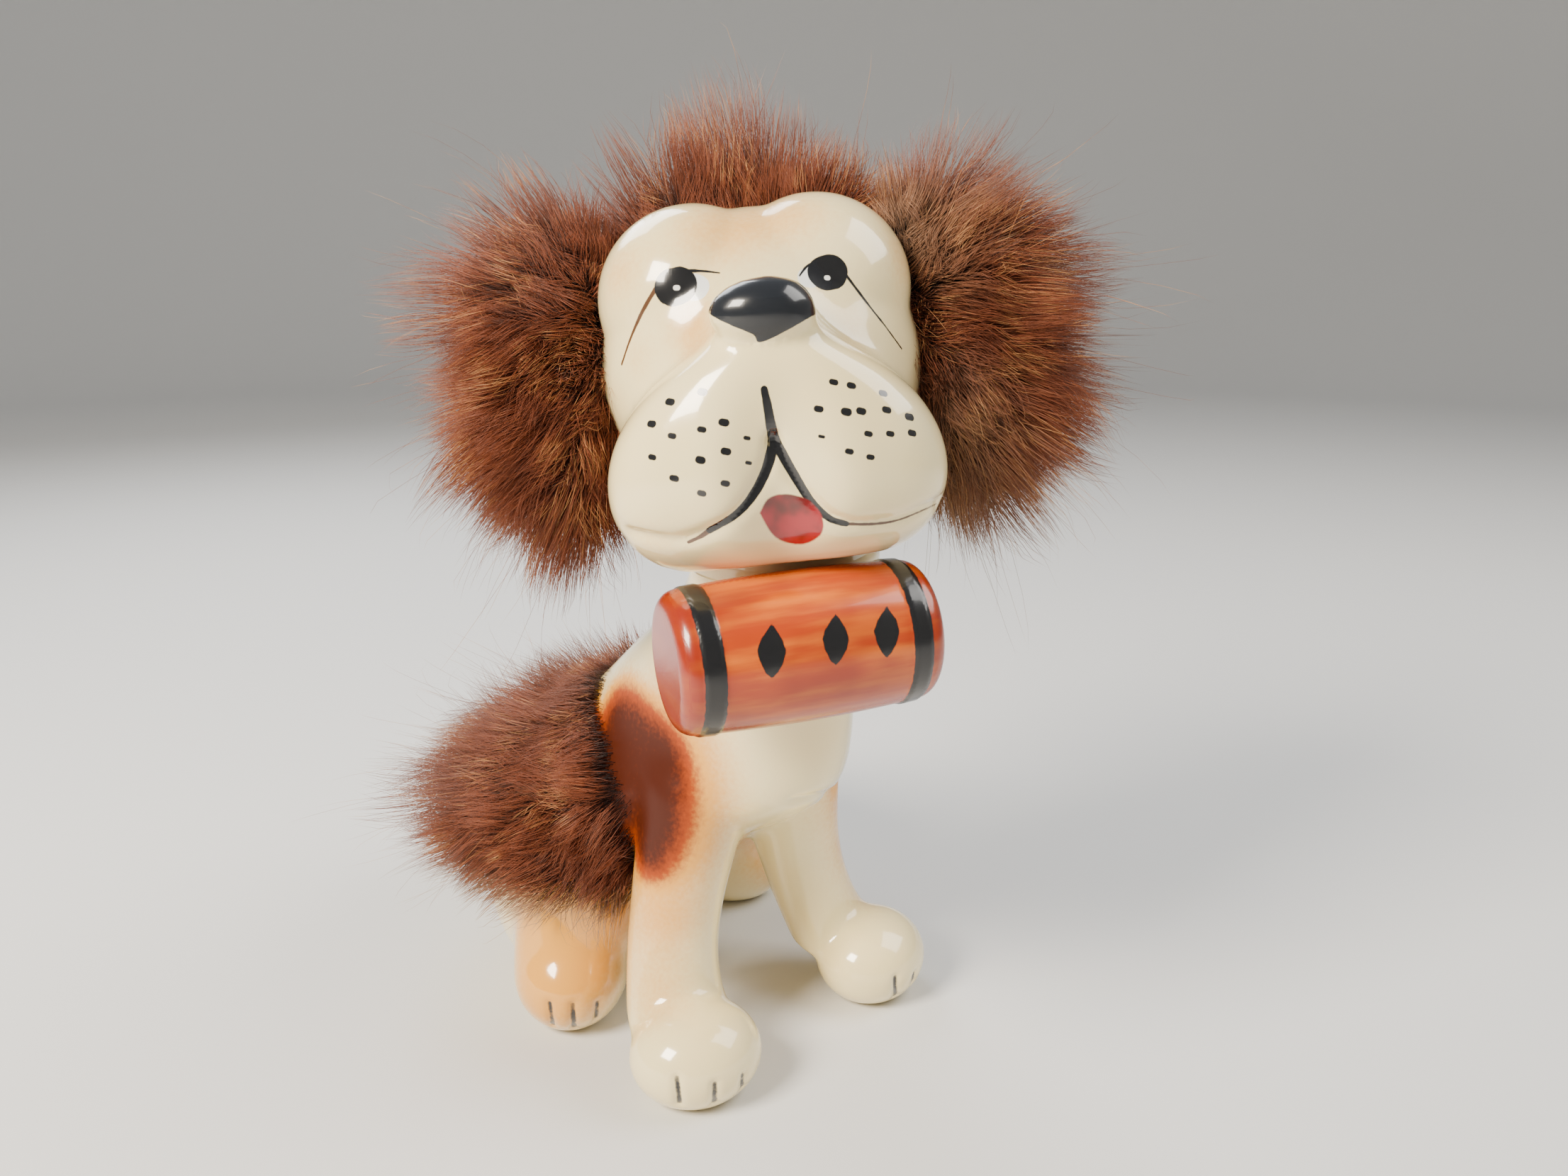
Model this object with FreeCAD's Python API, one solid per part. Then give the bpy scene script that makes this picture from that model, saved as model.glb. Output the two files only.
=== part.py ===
import FreeCAD, Part
import math
import os

# A sitting dog figure in slip-cast, glazed earthenware, with a small keg under its chin.
# The torso, the head and the keg are three hollow castings, joined with slip before firing.
# Four pieces of dyed pelt are glued on after firing: two ears, a topknot and a saddle on the rump.
# Millimetres. +X is the dog's own left, -Y is the way its chest faces, +Z is up.
# The origin is on the surface that the figure stands on, under the middle of the figure.

Vector = FreeCAD.Vector
Rotation = FreeCAD.Rotation
Placement = FreeCAD.Placement

X_AXIS = Vector(1, 0, 0)
Y_AXIS = Vector(0, 1, 0)
Z_AXIS = Vector(0, 0, 1)

# Layers and clearances
CERAMIC_WALL = 3.0
SLIP_THICKNESS = 0.6
GLUE_THICKNESS = 0.4
HIDE_THICKNESS = 1.0
HIDE_TOP = GLUE_THICKNESS + HIDE_THICKNESS
FUR_CLEARANCE = 0.3
GLUE_MARGIN = 1.0
CUT_OVERRUN = 6.0

# Torso: sections from the seat up to the neck
SEAT_Z = 2.5
NECK_TOP_Z = 79.0
TORSO_WIDTH = 41.0
TORSO_FRONT = 35.0
TORSO_BACK = 39.0
NECK_RADIUS = 13.2
NECK_X = -3.0
NECK_Y = -25.5
TORSO_SECTION_POINTS = 8
# Each section's height above the seat, its width, and how far its front and back lie from the origin,
# as shares of the neck's height above the seat, the torso's width, its front and its back.
TORSO_SECTION_SHARES = [
    (0.00, 0.66, -0.28, 0.84),
    (0.09, 0.90, -0.12, 0.98),
    (0.22, 1.00, 0.08, 1.02),
    (0.35, 0.97, 0.33, 0.95),
    (0.46, 0.89, 0.70, 0.81),
    (0.54, 0.80, 0.89, 0.64),
    (0.64, 0.71, 0.97, 0.41),
    (0.76, 0.67, 1.00, 0.13),
    (0.87, 0.655, 1.05, -0.13),
]

# Haunches and hind legs
HAUNCH_WIDTH = 21.0
HAUNCH_DEPTH = 33.0
HAUNCH_HEIGHT = 40.0
HAUNCH_BEHIND_FOOT = 7.0
HAUNCH_INSIDE_FOOT = 4.0
HAUNCH_LIFT = 1.0
HIND_FOOT_WIDTH = 18.4
HIND_FOOT_LENGTH = 22.0
HIND_FOOT_HEIGHT = 17.5
SHANK_RADIUS = 9.2
SHANK_TOP_Z = 26.0
SHANK_SETBACK = 3.5

# Forelegs
FORE_FOOT_WIDTH = 20.0
FORE_FOOT_LENGTH = 18.0
FORE_FOOT_HEIGHT = 15.0
FORE_FOOT_TURN = 20.0
SHOULDER_OUT = 9.5
SHOULDER_Y = -14.0
SHOULDER_Z = 46.0
SHOULDER_RADIUS = 8.4
KNEE_OUT = 12.4
KNEE_Y = -12.5
KNEE_Z = 27.0
KNEE_RADIUS = 7.3
SHIN_OUT = 15.0
SHIN_Y = -13.6
SHIN_Z = 17.0
SHIN_RADIUS = 7.0
ANKLE_OUT = 17.6
ANKLE_Y = -18.6
ANKLE_Z = 7.5
ANKLE_RADIUS = 8.2

# Where the feet stand; the right hind foot is drawn forward, close behind the foreleg
FORE_FOOT_OUT = 19.2
FORE_FOOT_Y = -23.6
LEFT_HIND_FOOT_OUT = 25.0
LEFT_HIND_FOOT_Y = 17.0
LEFT_HIND_FOOT_TURN = 48.0
RIGHT_HIND_FOOT_OUT = 20.6
RIGHT_HIND_FOOT_Y = 5.6
RIGHT_HIND_FOOT_TURN = 38.0

# How much of each rounded foot is ground away, so that it stands flat
FOOT_GRIND = 1.2

# Drain hole in the seat
DRAIN_RADIUS = 3.0
DRAIN_Y = 20.0

# Head: its own frame is at its centre, turned, tipped back and tilted on the neck
HEAD_X = -4.5
HEAD_Y = -23.0
HEAD_Z = 103.5
HEAD_TURN = -41.5
HEAD_TIP = -10.0
HEAD_TILT = -5.5
SKULL_WIDTH = 43.0
SKULL_DEPTH = 39.0
SKULL_HEIGHT = 42.0
SKULL_UP = 1.2
BROW_OUT = 8.0
BROW_AHEAD = 2.5
BROW_UP = 10.4
BROW_WIDTH = 25.5
BROW_DEPTH = 27.0
BROW_HEIGHT = 25.0
NOSE_AHEAD = 24.0
NOSE_UP = 5.6
NOSE_WIDTH = 13.4
NOSE_DEPTH = 9.0
NOSE_HEIGHT = 8.0

# Muzzle: sections from the bridge of the nose down to the chin
MUZZLE_TOP = 8.0
MUZZLE_BOTTOM = -23.0
MUZZLE_WIDTH = 42.6
MUZZLE_REACH = 27.0
MUZZLE_SQUARENESS = 2.5
PHILTRUM_DEPTH = 2.6
PHILTRUM_WIDTH = 5.0
MUZZLE_SECTION_POINTS = 24
# Each section's depth below the top, its width, how far it reaches ahead of the head's centre,
# and the depth of the groove between the jowls, as shares of those sizes.
MUZZLE_SECTION_SHARES = [
    (0.00, 0.22, 0.84, 0.00),
    (0.10, 0.33, 0.91, 0.00),
    (0.20, 0.48, 0.96, 0.00),
    (0.31, 0.70, 0.99, 0.10),
    (0.43, 0.86, 1.00, 0.45),
    (0.56, 0.96, 1.00, 0.80),
    (0.70, 1.00, 0.98, 1.00),
    (0.83, 0.97, 0.93, 1.00),
    (0.93, 0.86, 0.83, 0.80),
    (1.00, 0.66, 0.68, 0.40),
]

# Keg
KEG_X = -15.8
KEG_Y = -41.0
KEG_Z = 72.0
KEG_TURN = -25.0
KEG_TILT = -2.5
KEG_LENGTH = 34.0
KEG_RADIUS = 9.6
KEG_END_RADIUS = 8.9
KEG_EDGE_RADIUS = 2.4
KEG_VENT_RADIUS = 1.5

# Ears: an oval of pelt on each side of the skull, with fur that hangs from it
EAR_PATCH_HEIGHT = 26.0
EAR_PATCH_WIDTH = 15.0
EAR_BEHIND = 4.5
EAR_UP = 1.0
EAR_FUR_WIDTH = 30.0
EAR_FUR_DEPTH = 26.0
EAR_FUR_HEIGHT = 58.0
EAR_FUR_OUT = 31.5
EAR_FUR_BEHIND = 4.5
EAR_FUR_UP = 2.5
EAR_FUR_SPLAY = 6.0

# Topknot: a strip of pelt over the skull behind the brows, from ear to ear
TOPKNOT_BEHIND = 8.5
TOPKNOT_STRIP_WIDTH = 8.0
TOPKNOT_DOWN_TO = 14.0
TOPKNOT_FUR_WIDTH = 36.0
TOPKNOT_FUR_DEPTH = 15.0
TOPKNOT_FUR_HEIGHT = 33.0
TOPKNOT_FUR_UP = 23.0

# Saddle: the pelt over the back and the rump
SADDLE_PATCH_Y = 27.0
SADDLE_PATCH_Z = 35.0
SADDLE_PATCH_WIDTH = 64.0
SADDLE_PATCH_DEPTH = 52.0
SADDLE_PATCH_HEIGHT = 36.0
SADDLE_FUR_X = 1.6
SADDLE_FUR_Y = 24.2
SADDLE_FUR_Z = 29.5
SADDLE_FUR_WIDTH = 74.0
SADDLE_FUR_DEPTH = 64.0
SADDLE_FUR_HEIGHT = 43.0
SADDLE_FUR_FRONT_Y = 1.0


def lump(x, y, z, width, depth, height, grow=0):
    """A solid ellipsoid round a centre, every half size grown by the same amount."""
    stretch = FreeCAD.Matrix()
    stretch.scale(width / 2 + grow, depth / 2 + grow, height / 2 + grow)
    solid = Part.makeSphere(1).transformGeometry(stretch)
    solid.translate(Vector(x, y, z))
    return solid


def fur_lump(x, y, z, width, depth, height):
    """A lump of fur, whose poles lie along Y so that they stay clear of every cut."""
    ball = turned(lump(0, 0, 0, width, height, depth), 90, Vector(0, 0, 0), X_AXIS)
    ball.translate(Vector(x, y, z))
    return ball


def turned(solid, degrees, centre, axis=Z_AXIS):
    """The same solid, turned about an axis through a centre."""
    solid = solid.copy()
    solid.rotate(centre, axis, degrees)
    return solid


def fused(solids):
    """One solid out of several that run into each other."""
    return solids[0].multiFuse(solids[1:]).removeSplitter().Solids[0]


def smooth_ring(points):
    """A closed smooth wire through points."""
    curve = Part.BSplineCurve()
    curve.interpolate(Points=points, PeriodicFlag=True)
    return Part.Wire(curve.toShape())


def round_angles(count):
    """Evenly spaced angles round a section, from the back through the left side."""
    return [2 * math.pi * step / count for step in range(count)]


def ring(x, y, z, radius):
    """A round section that lies flat."""
    return Part.Wire(Part.makeCircle(radius, Vector(x, y, z), Z_AXIS))


def above(solid, height=0):
    """What is left of a solid above a level."""
    reach = solid.BoundBox.DiagonalLength + CUT_OVERRUN
    middle = solid.BoundBox.Center
    corner = Vector(middle.x - reach, middle.y - reach, height)
    return solid.common(Part.makeBox(2 * reach, 2 * reach, 2 * reach, corner))


def upright(radius, x, y, low, high):
    """An upright cylinder between two levels."""
    return Part.makeCylinder(radius, high - low, Vector(x, y, low))


def oval_face(half_length, half_width):
    """A flat oval, longest along X."""
    return Part.Face(Part.Wire(Part.Ellipse(Vector(0, 0, 0), half_length, half_width).toShape()))


def torso_section(height_share, width_share, front_share, back_share, grow):
    """One level section of the torso, an oval that is blunter at the back than at the front."""
    z = SEAT_Z + height_share * (NECK_TOP_Z - SEAT_Z)
    front = -front_share * TORSO_FRONT
    back = back_share * TORSO_BACK
    lean = NECK_X * height_share ** 3
    half_width = width_share * TORSO_WIDTH / 2 + grow
    half_depth = (back - front) / 2 + grow
    points = []
    for angle in round_angles(TORSO_SECTION_POINTS):
        x = lean + half_width * math.sin(angle)
        y = (front + back) / 2 + half_depth * math.cos(angle)
        points.append(Vector(x, y, z))
    return smooth_ring(points)


def torso_form(grow=0):
    """Seat, rump, belly, chest and neck as one form."""
    sections = [torso_section(*shares, grow) for shares in TORSO_SECTION_SHARES]
    sections.append(ring(NECK_X, NECK_Y, NECK_TOP_Z, NECK_RADIUS + grow))
    return Part.makeLoft(sections, True)


def foot(side, out, y, width, length, height, turn, grow=0):
    """A rounded foot that points outwards, set low enough to be ground flat."""
    z = height / 2 - FOOT_GRIND
    solid = lump(side * out, y, z, width, length, height, grow)
    return turned(solid, side * turn, Vector(side * out, y, z))


def hind_leg(side, out, y, turn, grow=0):
    """Haunch, shank and foot on one side; the seam of either haunch faces inwards."""
    inner_x = side * (out - HAUNCH_INSIDE_FOOT)
    haunch_centre = Vector(inner_x, y + HAUNCH_BEHIND_FOOT, HAUNCH_HEIGHT / 2 + HAUNCH_LIFT)
    haunch = lump(*haunch_centre, HAUNCH_WIDTH, HAUNCH_DEPTH, HAUNCH_HEIGHT, grow)
    haunch = turned(haunch, 90 + side * 90, haunch_centre)
    low = ring(side * out, y, HIND_FOOT_HEIGHT / 2, SHANK_RADIUS + grow)
    high = ring(inner_x, y + SHANK_SETBACK, SHANK_TOP_Z, SHANK_RADIUS + grow)
    shank = Part.makeLoft([low, high], True)
    sole = foot(side, out, y, HIND_FOOT_WIDTH, HIND_FOOT_LENGTH, HIND_FOOT_HEIGHT, turn, grow)
    return fused([haunch, shank, sole])


def foreleg(side):
    """A solid foreleg, from the shoulder to the foot."""
    sections = [
        ring(side * SHOULDER_OUT, SHOULDER_Y, SHOULDER_Z, SHOULDER_RADIUS),
        ring(side * KNEE_OUT, KNEE_Y, KNEE_Z, KNEE_RADIUS),
        ring(side * SHIN_OUT, SHIN_Y, SHIN_Z, SHIN_RADIUS),
        ring(side * ANKLE_OUT, ANKLE_Y, ANKLE_Z, ANKLE_RADIUS),
    ]
    leg = Part.makeLoft(sections, True)
    sole = foot(side, FORE_FOOT_OUT, FORE_FOOT_Y, FORE_FOOT_WIDTH, FORE_FOOT_LENGTH, FORE_FOOT_HEIGHT, FORE_FOOT_TURN)
    return fused([leg, sole])


def hind_places():
    """Side, distance out, place and turn of the two hind feet."""
    left = (1, LEFT_HIND_FOOT_OUT, LEFT_HIND_FOOT_Y, LEFT_HIND_FOOT_TURN)
    right = (-1, RIGHT_HIND_FOOT_OUT, RIGHT_HIND_FOOT_Y, RIGHT_HIND_FOOT_TURN)
    return [left, right]


def torso_outside():
    """Everything of the torso casting but its hollow."""
    limbs = [foreleg(1), foreleg(-1)] + [hind_leg(*place) for place in hind_places()]
    return above(fused([torso_form()] + limbs))


def rump_form(grow):
    """The torso and both hind legs, grown: what the saddle lies on."""
    return fused([torso_form(grow)] + [hind_leg(*place, grow) for place in hind_places()])


def neck_bore(low, high):
    """The round way through the neck, between two levels."""
    return upright(NECK_RADIUS - CERAMIC_WALL, NECK_X, NECK_Y, low, high)


def torso_casting():
    """The torso, hollow up to its open neck, with solid legs and a drain hole in the seat."""
    hollow = above(torso_form(-CERAMIC_WALL), SEAT_Z + CERAMIC_WALL)
    drain = upright(DRAIN_RADIUS, 0, DRAIN_Y, -CUT_OVERRUN, SEAT_Z + 2 * CERAMIC_WALL)
    return torso_outside().cut(hollow).cut(drain).cut(keg_vent())


def head_placement():
    """Where the head's own frame is: turned on the neck, tipped back and tilted."""
    turn = Rotation(Z_AXIS, HEAD_TURN)
    tip = Rotation(X_AXIS, HEAD_TIP)
    tilt = Rotation(Y_AXIS, HEAD_TILT)
    return Placement(Vector(HEAD_X, HEAD_Y, HEAD_Z), turn.multiply(tip).multiply(tilt))


def on_head(solid):
    """A solid of the head's own frame, put where the head is."""
    solid = solid.copy()
    solid.Placement = head_placement().multiply(solid.Placement)
    return solid


def skull_form(grow=0):
    return lump(0, 0, SKULL_UP, SKULL_WIDTH, SKULL_DEPTH, SKULL_HEIGHT, grow)


def brow_form(side, grow=0):
    return lump(side * BROW_OUT, -BROW_AHEAD, BROW_UP, BROW_WIDTH, BROW_DEPTH, BROW_HEIGHT, grow)


def crown_form(grow=0):
    """The skull and both brows, in the head's own frame: what the ears and the topknot lie on."""
    return fused([skull_form(grow), brow_form(1, grow), brow_form(-1, grow)])


def rounded(value, squareness):
    """A sine or cosine pushed out towards a square with rounded corners."""
    return math.copysign(abs(value) ** (2 / squareness), value)


def muzzle_section(down_share, width_share, reach_share, groove_share, grow):
    """One level section of the muzzle, with the groove between the jowls at its front."""
    top = MUZZLE_TOP + grow
    bottom = MUZZLE_BOTTOM - grow
    z = top + down_share * (bottom - top)
    half_width = width_share * MUZZLE_WIDTH / 2 + grow
    reach = reach_share * MUZZLE_REACH + grow
    points = []
    for angle in round_angles(MUZZLE_SECTION_POINTS):
        x = half_width * rounded(math.sin(angle), MUZZLE_SQUARENESS)
        y = -reach * (1 + rounded(-math.cos(angle), MUZZLE_SQUARENESS)) / 2
        if math.cos(angle) < 0:
            y += groove_share * PHILTRUM_DEPTH * math.exp(-(2 * x / PHILTRUM_WIDTH) ** 2)
        points.append(Vector(x, y, z))
    return smooth_ring(points)


def muzzle_form(grow=0):
    """Bridge of the nose, jowls and chin as one form, in the head's own frame."""
    return Part.makeLoft([muzzle_section(*shares, grow) for shares in MUZZLE_SECTION_SHARES], True)


def nose_form():
    return lump(0, -NOSE_AHEAD, NOSE_UP, NOSE_WIDTH, NOSE_DEPTH, NOSE_HEIGHT)


def head_outside():
    """Everything of the head casting but its neck and its hollow."""
    return on_head(fused([crown_form(), muzzle_form(), nose_form()]))


def head_casting():
    """The head, hollow, with an upright neck that stands on the torso's."""
    seat_z = NECK_TOP_Z + SLIP_THICKNESS
    neck = upright(NECK_RADIUS, NECK_X, NECK_Y, seat_z, HEAD_Z)
    hollow = on_head(fused([skull_form(-CERAMIC_WALL), muzzle_form(-CERAMIC_WALL)]))
    bore = neck_bore(seat_z - CUT_OVERRUN, HEAD_Z)
    return above(head_outside().fuse(neck), seat_z).cut(hollow).cut(bore)


def neck_slip_joint():
    """The ring of slip between the two necks."""
    top = NECK_TOP_Z + SLIP_THICKNESS
    outer = upright(NECK_RADIUS, NECK_X, NECK_Y, NECK_TOP_Z, top)
    return outer.cut(neck_bore(NECK_TOP_Z - CUT_OVERRUN, top + CUT_OVERRUN))


def keg_placement():
    """Where the keg's own frame is: at its centre, with +Z along its length."""
    turn = Rotation(Z_AXIS, KEG_TURN)
    return Placement(Vector(KEG_X, KEG_Y, KEG_Z), turn.multiply(Rotation(Y_AXIS, 90 + KEG_TILT)))


def keg_form(grow=0):
    """A keg with a slight belly and rounded rims, in place."""
    half = KEG_LENGTH / 2 + grow
    belly = KEG_RADIUS + grow
    end = KEG_END_RADIUS + grow
    low, high = Vector(0, 0, -half), Vector(0, 0, half)
    stave = Part.Arc(end * X_AXIS + low, belly * X_AXIS, end * X_AXIS + high).toShape()
    edges = [
        Part.makeLine(low, end * X_AXIS + low),
        stave,
        Part.makeLine(end * X_AXIS + high, high),
        Part.makeLine(high, low),
    ]
    solid = Part.Face(Part.Wire(edges)).revolve(Vector(0, 0, 0), Z_AXIS, 360)
    rims = [edge for edge in solid.Edges if edge.Length > math.pi * end and edge.Curve.TypeId == "Part::GeomCircle"]
    solid = solid.makeFillet(KEG_EDGE_RADIUS, rims)
    solid.Placement = keg_placement()
    return solid


def keg_vent():
    """The vent from the keg's hollow back into the neck's."""
    back = Rotation(Z_AXIS, KEG_TURN).multVec(Y_AXIS)
    reach = math.hypot(KEG_X - NECK_X, KEG_Y - NECK_Y)
    return Part.makeCylinder(KEG_VENT_RADIUS, reach, Vector(KEG_X, KEG_Y, KEG_Z), back)


def keg_casting():
    """The keg, hollow, scooped out where it sits against the neck."""
    hollow = keg_form(-CERAMIC_WALL)
    neck = upright(NECK_RADIUS + SLIP_THICKNESS, NECK_X, NECK_Y, NECK_TOP_Z, HEAD_Z)
    return keg_form().cut(torso_form(SLIP_THICKNESS)).cut(neck).cut(hollow).cut(keg_vent())


def keg_slip_joint():
    """The layer of slip between the keg and the neck."""
    return keg_form().common(torso_form(SLIP_THICKNESS)).cut(torso_form()).cut(keg_vent())


def ear_patch(margin=0):
    """An oval peg through the left side of the head, as wide as the ear's hide."""
    oval = oval_face(EAR_PATCH_HEIGHT / 2 - margin, EAR_PATCH_WIDTH / 2 - margin)
    peg = oval.extrude((SKULL_WIDTH / 2 + CUT_OVERRUN) * Z_AXIS)
    peg.Placement = Placement(Vector(0, EAR_BEHIND, EAR_UP), Rotation(Y_AXIS, 90))
    return peg


def topknot_patch(margin=0):
    """A slab across the crown, as wide as the topknot's hide."""
    depth = TOPKNOT_STRIP_WIDTH - 2 * margin
    low = TOPKNOT_DOWN_TO + margin
    corner = Vector(-SKULL_WIDTH, TOPKNOT_BEHIND - depth / 2, low)
    return Part.makeBox(2 * SKULL_WIDTH, depth, SKULL_HEIGHT, corner)


def saddle_patch(margin=0):
    """A lump over the back and the rump, as large as the saddle's hide."""
    size = (SADDLE_PATCH_WIDTH, SADDLE_PATCH_DEPTH, SADDLE_PATCH_HEIGHT)
    return lump(0, SADDLE_PATCH_Y, SADDLE_PATCH_Z, *size, -margin)


def pelt(form, patch_of, fur):
    """The glue, hide and fur of one piece of pelt: glue and hide follow a form, within a patch."""
    glue_top = form(GLUE_THICKNESS)
    glue = glue_top.common(patch_of(GLUE_MARGIN)).cut(form(0))
    hide = form(HIDE_TOP).common(patch_of(0)).cut(glue_top)
    return {"glue": glue, "hide": hide, "fur": fur}


def ear_fur():
    """The hanging pile of the left ear, splayed outwards at its foot."""
    centre = Vector(EAR_FUR_OUT, EAR_FUR_BEHIND, EAR_FUR_UP)
    pile = fur_lump(*centre, EAR_FUR_WIDTH, EAR_FUR_DEPTH, EAR_FUR_HEIGHT)
    return turned(pile, -EAR_FUR_SPLAY, centre, Y_AXIS)


def topknot_fur():
    """The pile that stands up from the crown."""
    size = (TOPKNOT_FUR_WIDTH, TOPKNOT_FUR_DEPTH, TOPKNOT_FUR_HEIGHT)
    return fur_lump(0, TOPKNOT_BEHIND, TOPKNOT_FUR_UP, *size)


def haunch_room(side, out, y, turn):
    """An upright oval prism that holds one haunch, its foot's heel and the hide on it."""
    room = HIDE_TOP + FUR_CLEARANCE
    oval = oval_face(HAUNCH_DEPTH / 2 + room, HAUNCH_WIDTH / 2 + room)
    prism = oval.extrude((HAUNCH_LIFT + HAUNCH_HEIGHT + room) * Z_AXIS)
    centre = Vector(side * (out - HAUNCH_INSIDE_FOOT), y + HAUNCH_BEHIND_FOOT, 0)
    prism.Placement = Placement(centre, Rotation(Z_AXIS, 90))
    return prism


def saddle_fur():
    """The pile over the rump, which stops short of the forelegs."""
    size = (SADDLE_FUR_WIDTH, SADDLE_FUR_DEPTH, SADDLE_FUR_HEIGHT)
    corner = Vector(-SADDLE_FUR_WIDTH, SADDLE_FUR_FRONT_Y, 0)
    behind = Part.makeBox(2 * SADDLE_FUR_WIDTH, 2 * SADDLE_FUR_DEPTH, 2 * SADDLE_FUR_HEIGHT, corner)
    pile = fur_lump(SADDLE_FUR_X, SADDLE_FUR_Y, SADDLE_FUR_Z, *size).common(behind)
    pile = pile.cut(torso_form(HIDE_TOP + FUR_CLEARANCE))
    for place in hind_places():
        pile = pile.cut(haunch_room(*place))
    return pile


def head_pelts():
    """Both ears and the topknot, in the head's own frame, where the ears mirror each other."""
    fur_room = crown_form(HIDE_TOP + FUR_CLEARANCE)
    left_ear = pelt(crown_form, ear_patch, ear_fur().cut(fur_room))
    right_ear = {kind: solid.mirror(Vector(0, 0, 0), X_AXIS) for kind, solid in left_ear.items()}
    topknot = pelt(crown_form, topknot_patch, topknot_fur().cut(fur_room))
    return {"left_ear": left_ear, "right_ear": right_ear, "topknot": topknot}


def main():
    parts = {
        "torso_casting": torso_casting(),
        "head_casting": head_casting(),
        "keg_casting": keg_casting(),
        "neck_slip_joint": neck_slip_joint(),
        "keg_slip_joint": keg_slip_joint(),
    }
    for name, layers in head_pelts().items():
        for kind, solid in layers.items():
            parts[f"{name}_{kind}"] = on_head(solid)
    for kind, solid in pelt(rump_form, saddle_patch, saddle_fur()).items():
        parts[f"saddle_{kind}"] = solid
    os.makedirs("parts", exist_ok=True)
    for name, shape in parts.items():
        print(name, shape.ShapeType, len(shape.Solids), shape.isValid(), round(shape.Volume, 1))
        shape.exportStep(f"parts/{name}.step")


main()
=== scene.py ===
"""Looks of a sitting dog in glazed earthenware, with a keg under its chin and fur glued on.

Everything is in metres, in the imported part's own frame: +X is the dog's left, -Y the way its
chest faces and +Z is up. Places on the painted side are named by the photograph's pixels.
"""

from __future__ import annotations

import logging
import math
from collections.abc import Sequence
from dataclasses import dataclass
from enum import Enum

import bmesh
import bpy
import numpy as np
from mathutils import Matrix, Vector, noise
from mathutils.bvhtree import BVHTree


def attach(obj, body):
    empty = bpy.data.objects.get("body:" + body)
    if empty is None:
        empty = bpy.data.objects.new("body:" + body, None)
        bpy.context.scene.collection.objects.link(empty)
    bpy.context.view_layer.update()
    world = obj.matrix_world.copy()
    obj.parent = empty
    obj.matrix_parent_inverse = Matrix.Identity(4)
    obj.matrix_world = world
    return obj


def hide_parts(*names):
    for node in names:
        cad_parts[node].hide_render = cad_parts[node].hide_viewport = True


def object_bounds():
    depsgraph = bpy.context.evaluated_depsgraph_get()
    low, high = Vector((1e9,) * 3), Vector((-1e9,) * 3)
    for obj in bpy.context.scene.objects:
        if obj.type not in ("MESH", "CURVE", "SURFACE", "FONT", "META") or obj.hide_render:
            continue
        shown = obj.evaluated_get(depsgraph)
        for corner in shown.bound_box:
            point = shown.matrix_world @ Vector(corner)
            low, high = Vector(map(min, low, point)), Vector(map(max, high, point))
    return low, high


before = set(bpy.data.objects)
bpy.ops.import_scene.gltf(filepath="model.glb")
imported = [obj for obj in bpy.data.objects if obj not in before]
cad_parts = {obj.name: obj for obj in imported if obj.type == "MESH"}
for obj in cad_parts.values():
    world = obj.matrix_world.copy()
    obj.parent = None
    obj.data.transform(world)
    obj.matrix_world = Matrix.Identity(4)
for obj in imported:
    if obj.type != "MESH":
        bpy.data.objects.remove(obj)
CAD_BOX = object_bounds()

LOG = logging.getLogger("dog_figure")
MM = 0.001
TINY = 1e-12
BARE = 1.0  # A distance from paint so large that none is seen.
FACE_PAINTS = ("brown_ink", "eye_white", "glint", "nose", "tongue")
Pixel = tuple[float, float]
Path = tuple[Pixel, ...]
Triple = tuple[float, float, float]


@dataclass(frozen=True)
class PhotoView:
    """The camera that took the photograph, and the way from its pixels into the frame."""

    at: Triple = (-122.9 * MM, -147.9 * MM, 120.0 * MM)
    heading_deg: float = 44.43
    pitch_deg: float = 15.0
    width: int = 2212
    height: int = 1659
    focal_share: float = 0.804
    sensor_mm: float = 36.0
    nearest: float = 5 * MM

    def focal(self) -> float:
        """Returns the focal length in pixels."""
        return self.focal_share * self.width

    def axes(self) -> tuple[Vector, Vector, Vector]:
        """Works out which way the camera looks.

        Returns:
            The view's right, up and forward directions.
        """
        heading = math.radians(self.heading_deg)
        pitch = math.radians(self.pitch_deg)
        flat = math.cos(pitch)
        forward = Vector((math.sin(heading) * flat, math.cos(heading) * flat, -math.sin(pitch)))
        right = Vector((math.cos(heading), -math.sin(heading), 0.0))
        return right, right.cross(forward), forward

    def ray(self, pixel: Pixel) -> tuple[Vector, Vector]:
        """Finds the line of sight through a pixel.

        Args:
            pixel: Column and row in the photograph.

        Returns:
            The camera's place and the direction of the line.
        """
        right, up, forward = self.axes()
        across = (pixel[0] - self.width / 2) / self.focal()
        down = (pixel[1] - self.height / 2) / self.focal()
        return Vector(self.at), (forward + right * across - up * down).normalized()

    def pixels(self, points: np.ndarray) -> np.ndarray:
        """Finds the pixels at which points of the frame are seen.

        Args:
            points: One point on each row.

        Returns:
            One column and row for each point.
        """
        right, up, forward = (np.array(axis) for axis in self.axes())
        rays = points - np.array(self.at)
        depth = rays @ forward
        columns = self.width / 2 + self.focal() * (rays @ right) / depth
        rows = self.height / 2 - self.focal() * (rays @ up) / depth
        return np.stack([columns, rows], 1)

    def make_camera(self) -> None:
        """Puts the camera in the scene."""
        data = bpy.data.cameras.new("camera")
        data.sensor_width = self.sensor_mm
        data.lens = self.focal_share * self.sensor_mm
        data.clip_start = self.nearest
        camera = in_scene("camera", data)
        camera.location = self.at
        camera.rotation_mode = "QUATERNION"
        camera.rotation_quaternion = self.axes()[2].to_track_quat("-Z", "Y")
        bpy.context.scene.camera = camera


VIEW = PhotoView()


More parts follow.
